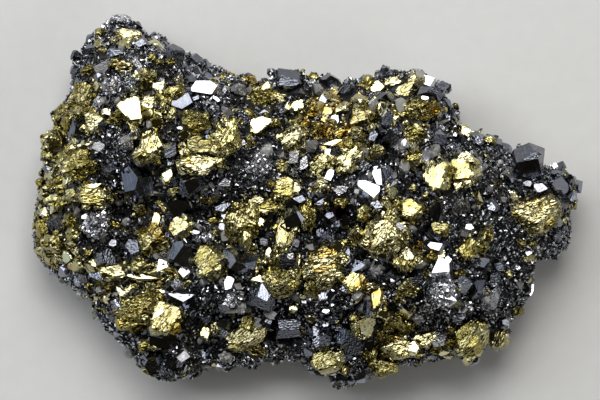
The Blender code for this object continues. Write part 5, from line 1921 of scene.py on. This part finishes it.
@dataclass
class Studio:
    """The pale floor, the soft lights and the camera straight above, in metres but for aim."""

    aim: tuple[float, float, float] = (-0.4, 0.4, 14.0)
    lens: float = 400.0
    view_width: float = 0.12
    sensor: float = 36.0
    lamp_distance: float = 1.0
    floor_reach: float = 1.6
    floor_steps: int = 24
    flat_reach: float = 1.0
    curl: float = 0.05
    papers: tuple[Colour, Colour] = ((0.80, 0.80, 0.79), (0.86, 0.86, 0.85))
    paper_scale: float = 300.0
    surroundings: Colour = (1.0, 0.86, 0.52)
    dimness: float = 0.025
    seen: tuple[float, float] = (0.05, 10.0)

    def build(self) -> None:
        """Builds all of it."""
        self.floor()
        for lamp in LAMPS:
            self.light(lamp)
        self.world()
        self.camera()
        bpy.context.scene.view_settings.view_transform = "Standard"

    def floor(self) -> None:
        """A plain pale floor that curves up gently far from the specimen."""
        shape = bmesh.new()
        steps = self.floor_steps
        bmesh.ops.create_grid(shape, x_segments=steps, y_segments=steps, size=self.floor_reach)
        for vert in shape.verts:
            past = max(0.0, math.hypot(vert.co.x, vert.co.y) - self.flat_reach)
            vert.co.z = self.curl * past**2
        mesh = bpy.data.meshes.new("floor")
        shape.to_mesh(mesh)
        shape.free()
        graph = Graph("floor_paper")
        place = graph.node("ShaderNodeNewGeometry").outputs["Position"]
        colour = graph.mix(graph.noise(place, self.paper_scale), *self.papers)
        mesh.materials.append(graph.finish(Base_Color=colour, Roughness=0.85))
        linked("floor", mesh)

    def light(self, lamp: Lamp) -> None:
        """Hangs a lamp.

        Args:
            lamp: the lamp.
        """
        direction = Vector(leaning(lamp.bearing, lamp.lean))
        data = bpy.data.lights.new(lamp.name, "AREA")
        data.shape = "SQUARE"
        data.size = self.lamp_distance * math.sqrt(lamp.solid)
        data.energy = lamp.radiance * math.pi * data.size**2
        data.color = lamp.colour
        made = linked(lamp.name, data)
        made.location = direction * self.lamp_distance
        made.rotation_euler = direction.to_track_quat("Z", "Y").to_euler()

    def world(self) -> None:
        """A dim, even surrounding of one colour."""
        world = bpy.data.worlds.new("studio")
        world.use_nodes = True
        background = world.node_tree.nodes["Background"]
        background.inputs["Color"].default_value = (*self.surroundings, 1.0)
        background.inputs["Strength"].default_value = self.dimness
        bpy.context.scene.world = world

    def camera(self) -> None:
        """The camera, straight above with a long lens."""
        data = bpy.data.cameras.new("camera")
        data.lens = self.lens
        data.sensor_width = self.sensor
        data.clip_start, data.clip_end = self.seen
        made = linked("camera", data)
        height = self.view_width * self.lens / self.sensor
        made.location = Vector(self.aim) * MM + Vector((0.0, 0.0, height))
        bpy.context.scene.camera = made


def settle(piece: bpy.types.Object, finish: bpy.types.Material) -> None:
    """Gives a piece its finish, hangs it from the root body and hides the imported solid.

    Args:
        piece: the piece.
        finish: its finish.
    """
    piece.data.materials.append(finish)
    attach(piece, "root")
    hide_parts(NODE)
    log.info("%s: %d triangles", piece.name, len(piece.data.polygons))


def main() -> None:
    """Builds the studio and the specimen, one mineral after another."""
    logging.basicConfig(level=logging.INFO, format="%(name)s: %(message)s")
    Studio().build()
    ground = Ground(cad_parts[NODE])
    ore = OreBody(ground)
    growth = Undergrowth(ore)
    gold = ChalcopyriteCrystals(ore, growth)
    dark = PlaneCrystals(
        ore, growth, "sphalerite_crystals", Mineral.SPHALERITE, DARK_SITES,
        (PYRAMID, LUMP, TABLET, PYRAMID),
    )
    silver = PlaneCrystals(
        ore, growth, "galena_crystals", Mineral.GALENA, SILVER_SITES, (CLEAVED, ROUGH)
    )
    quartz = PlaneCrystals(
        ore, growth, "quartz_grains", Mineral.QUARTZ, QUARTZ_SITES, (ROUGH, LUMP), satellites=0
    )
    red = PlaneCrystals(ore, growth, "red_sphalerite", Mineral.NONE, RED_SITES, (LUMP,))
    red_finish = DarkFinish(
        "red_brown_sphalerite", (0.008, 0.002, 0.002), (0.018, 0.005, 0.004), (0.02, 0.007, 0.006)
    ).material()
    minerals = (
        (gold, ChalcopyriteFinish("brass_yellow_chalcopyrite").material(), "chalcopyrite"),
        (dark, DarkFinish("black_sphalerite").material(), "sphalerite"),
        (silver, SilverFinish("bright_galena").material(), "galena"),
        (quartz, QuartzFinish("grey_quartz").material(), "quartz"),
    )
    for crystals, finish, slot in (*minerals, (red, red_finish, "sphalerite")):
        for mass in crystals.named():
            settle(mass.joined(), finish)
    growth.spread()
    for crystals, finish, slot in minerals:
        for mass in crystals.lesser():
            settle(mass.joined(), finish)
    fine_ore = DruseFinish("fine_dark_ore").material()
    for mass in Druse(growth).build():
        settle(mass.joined(), fine_ore)
    settle(Crust(ground).build(), CrustFinish("ore_between_crystals").material())


if __name__ == "__main__":
    main()
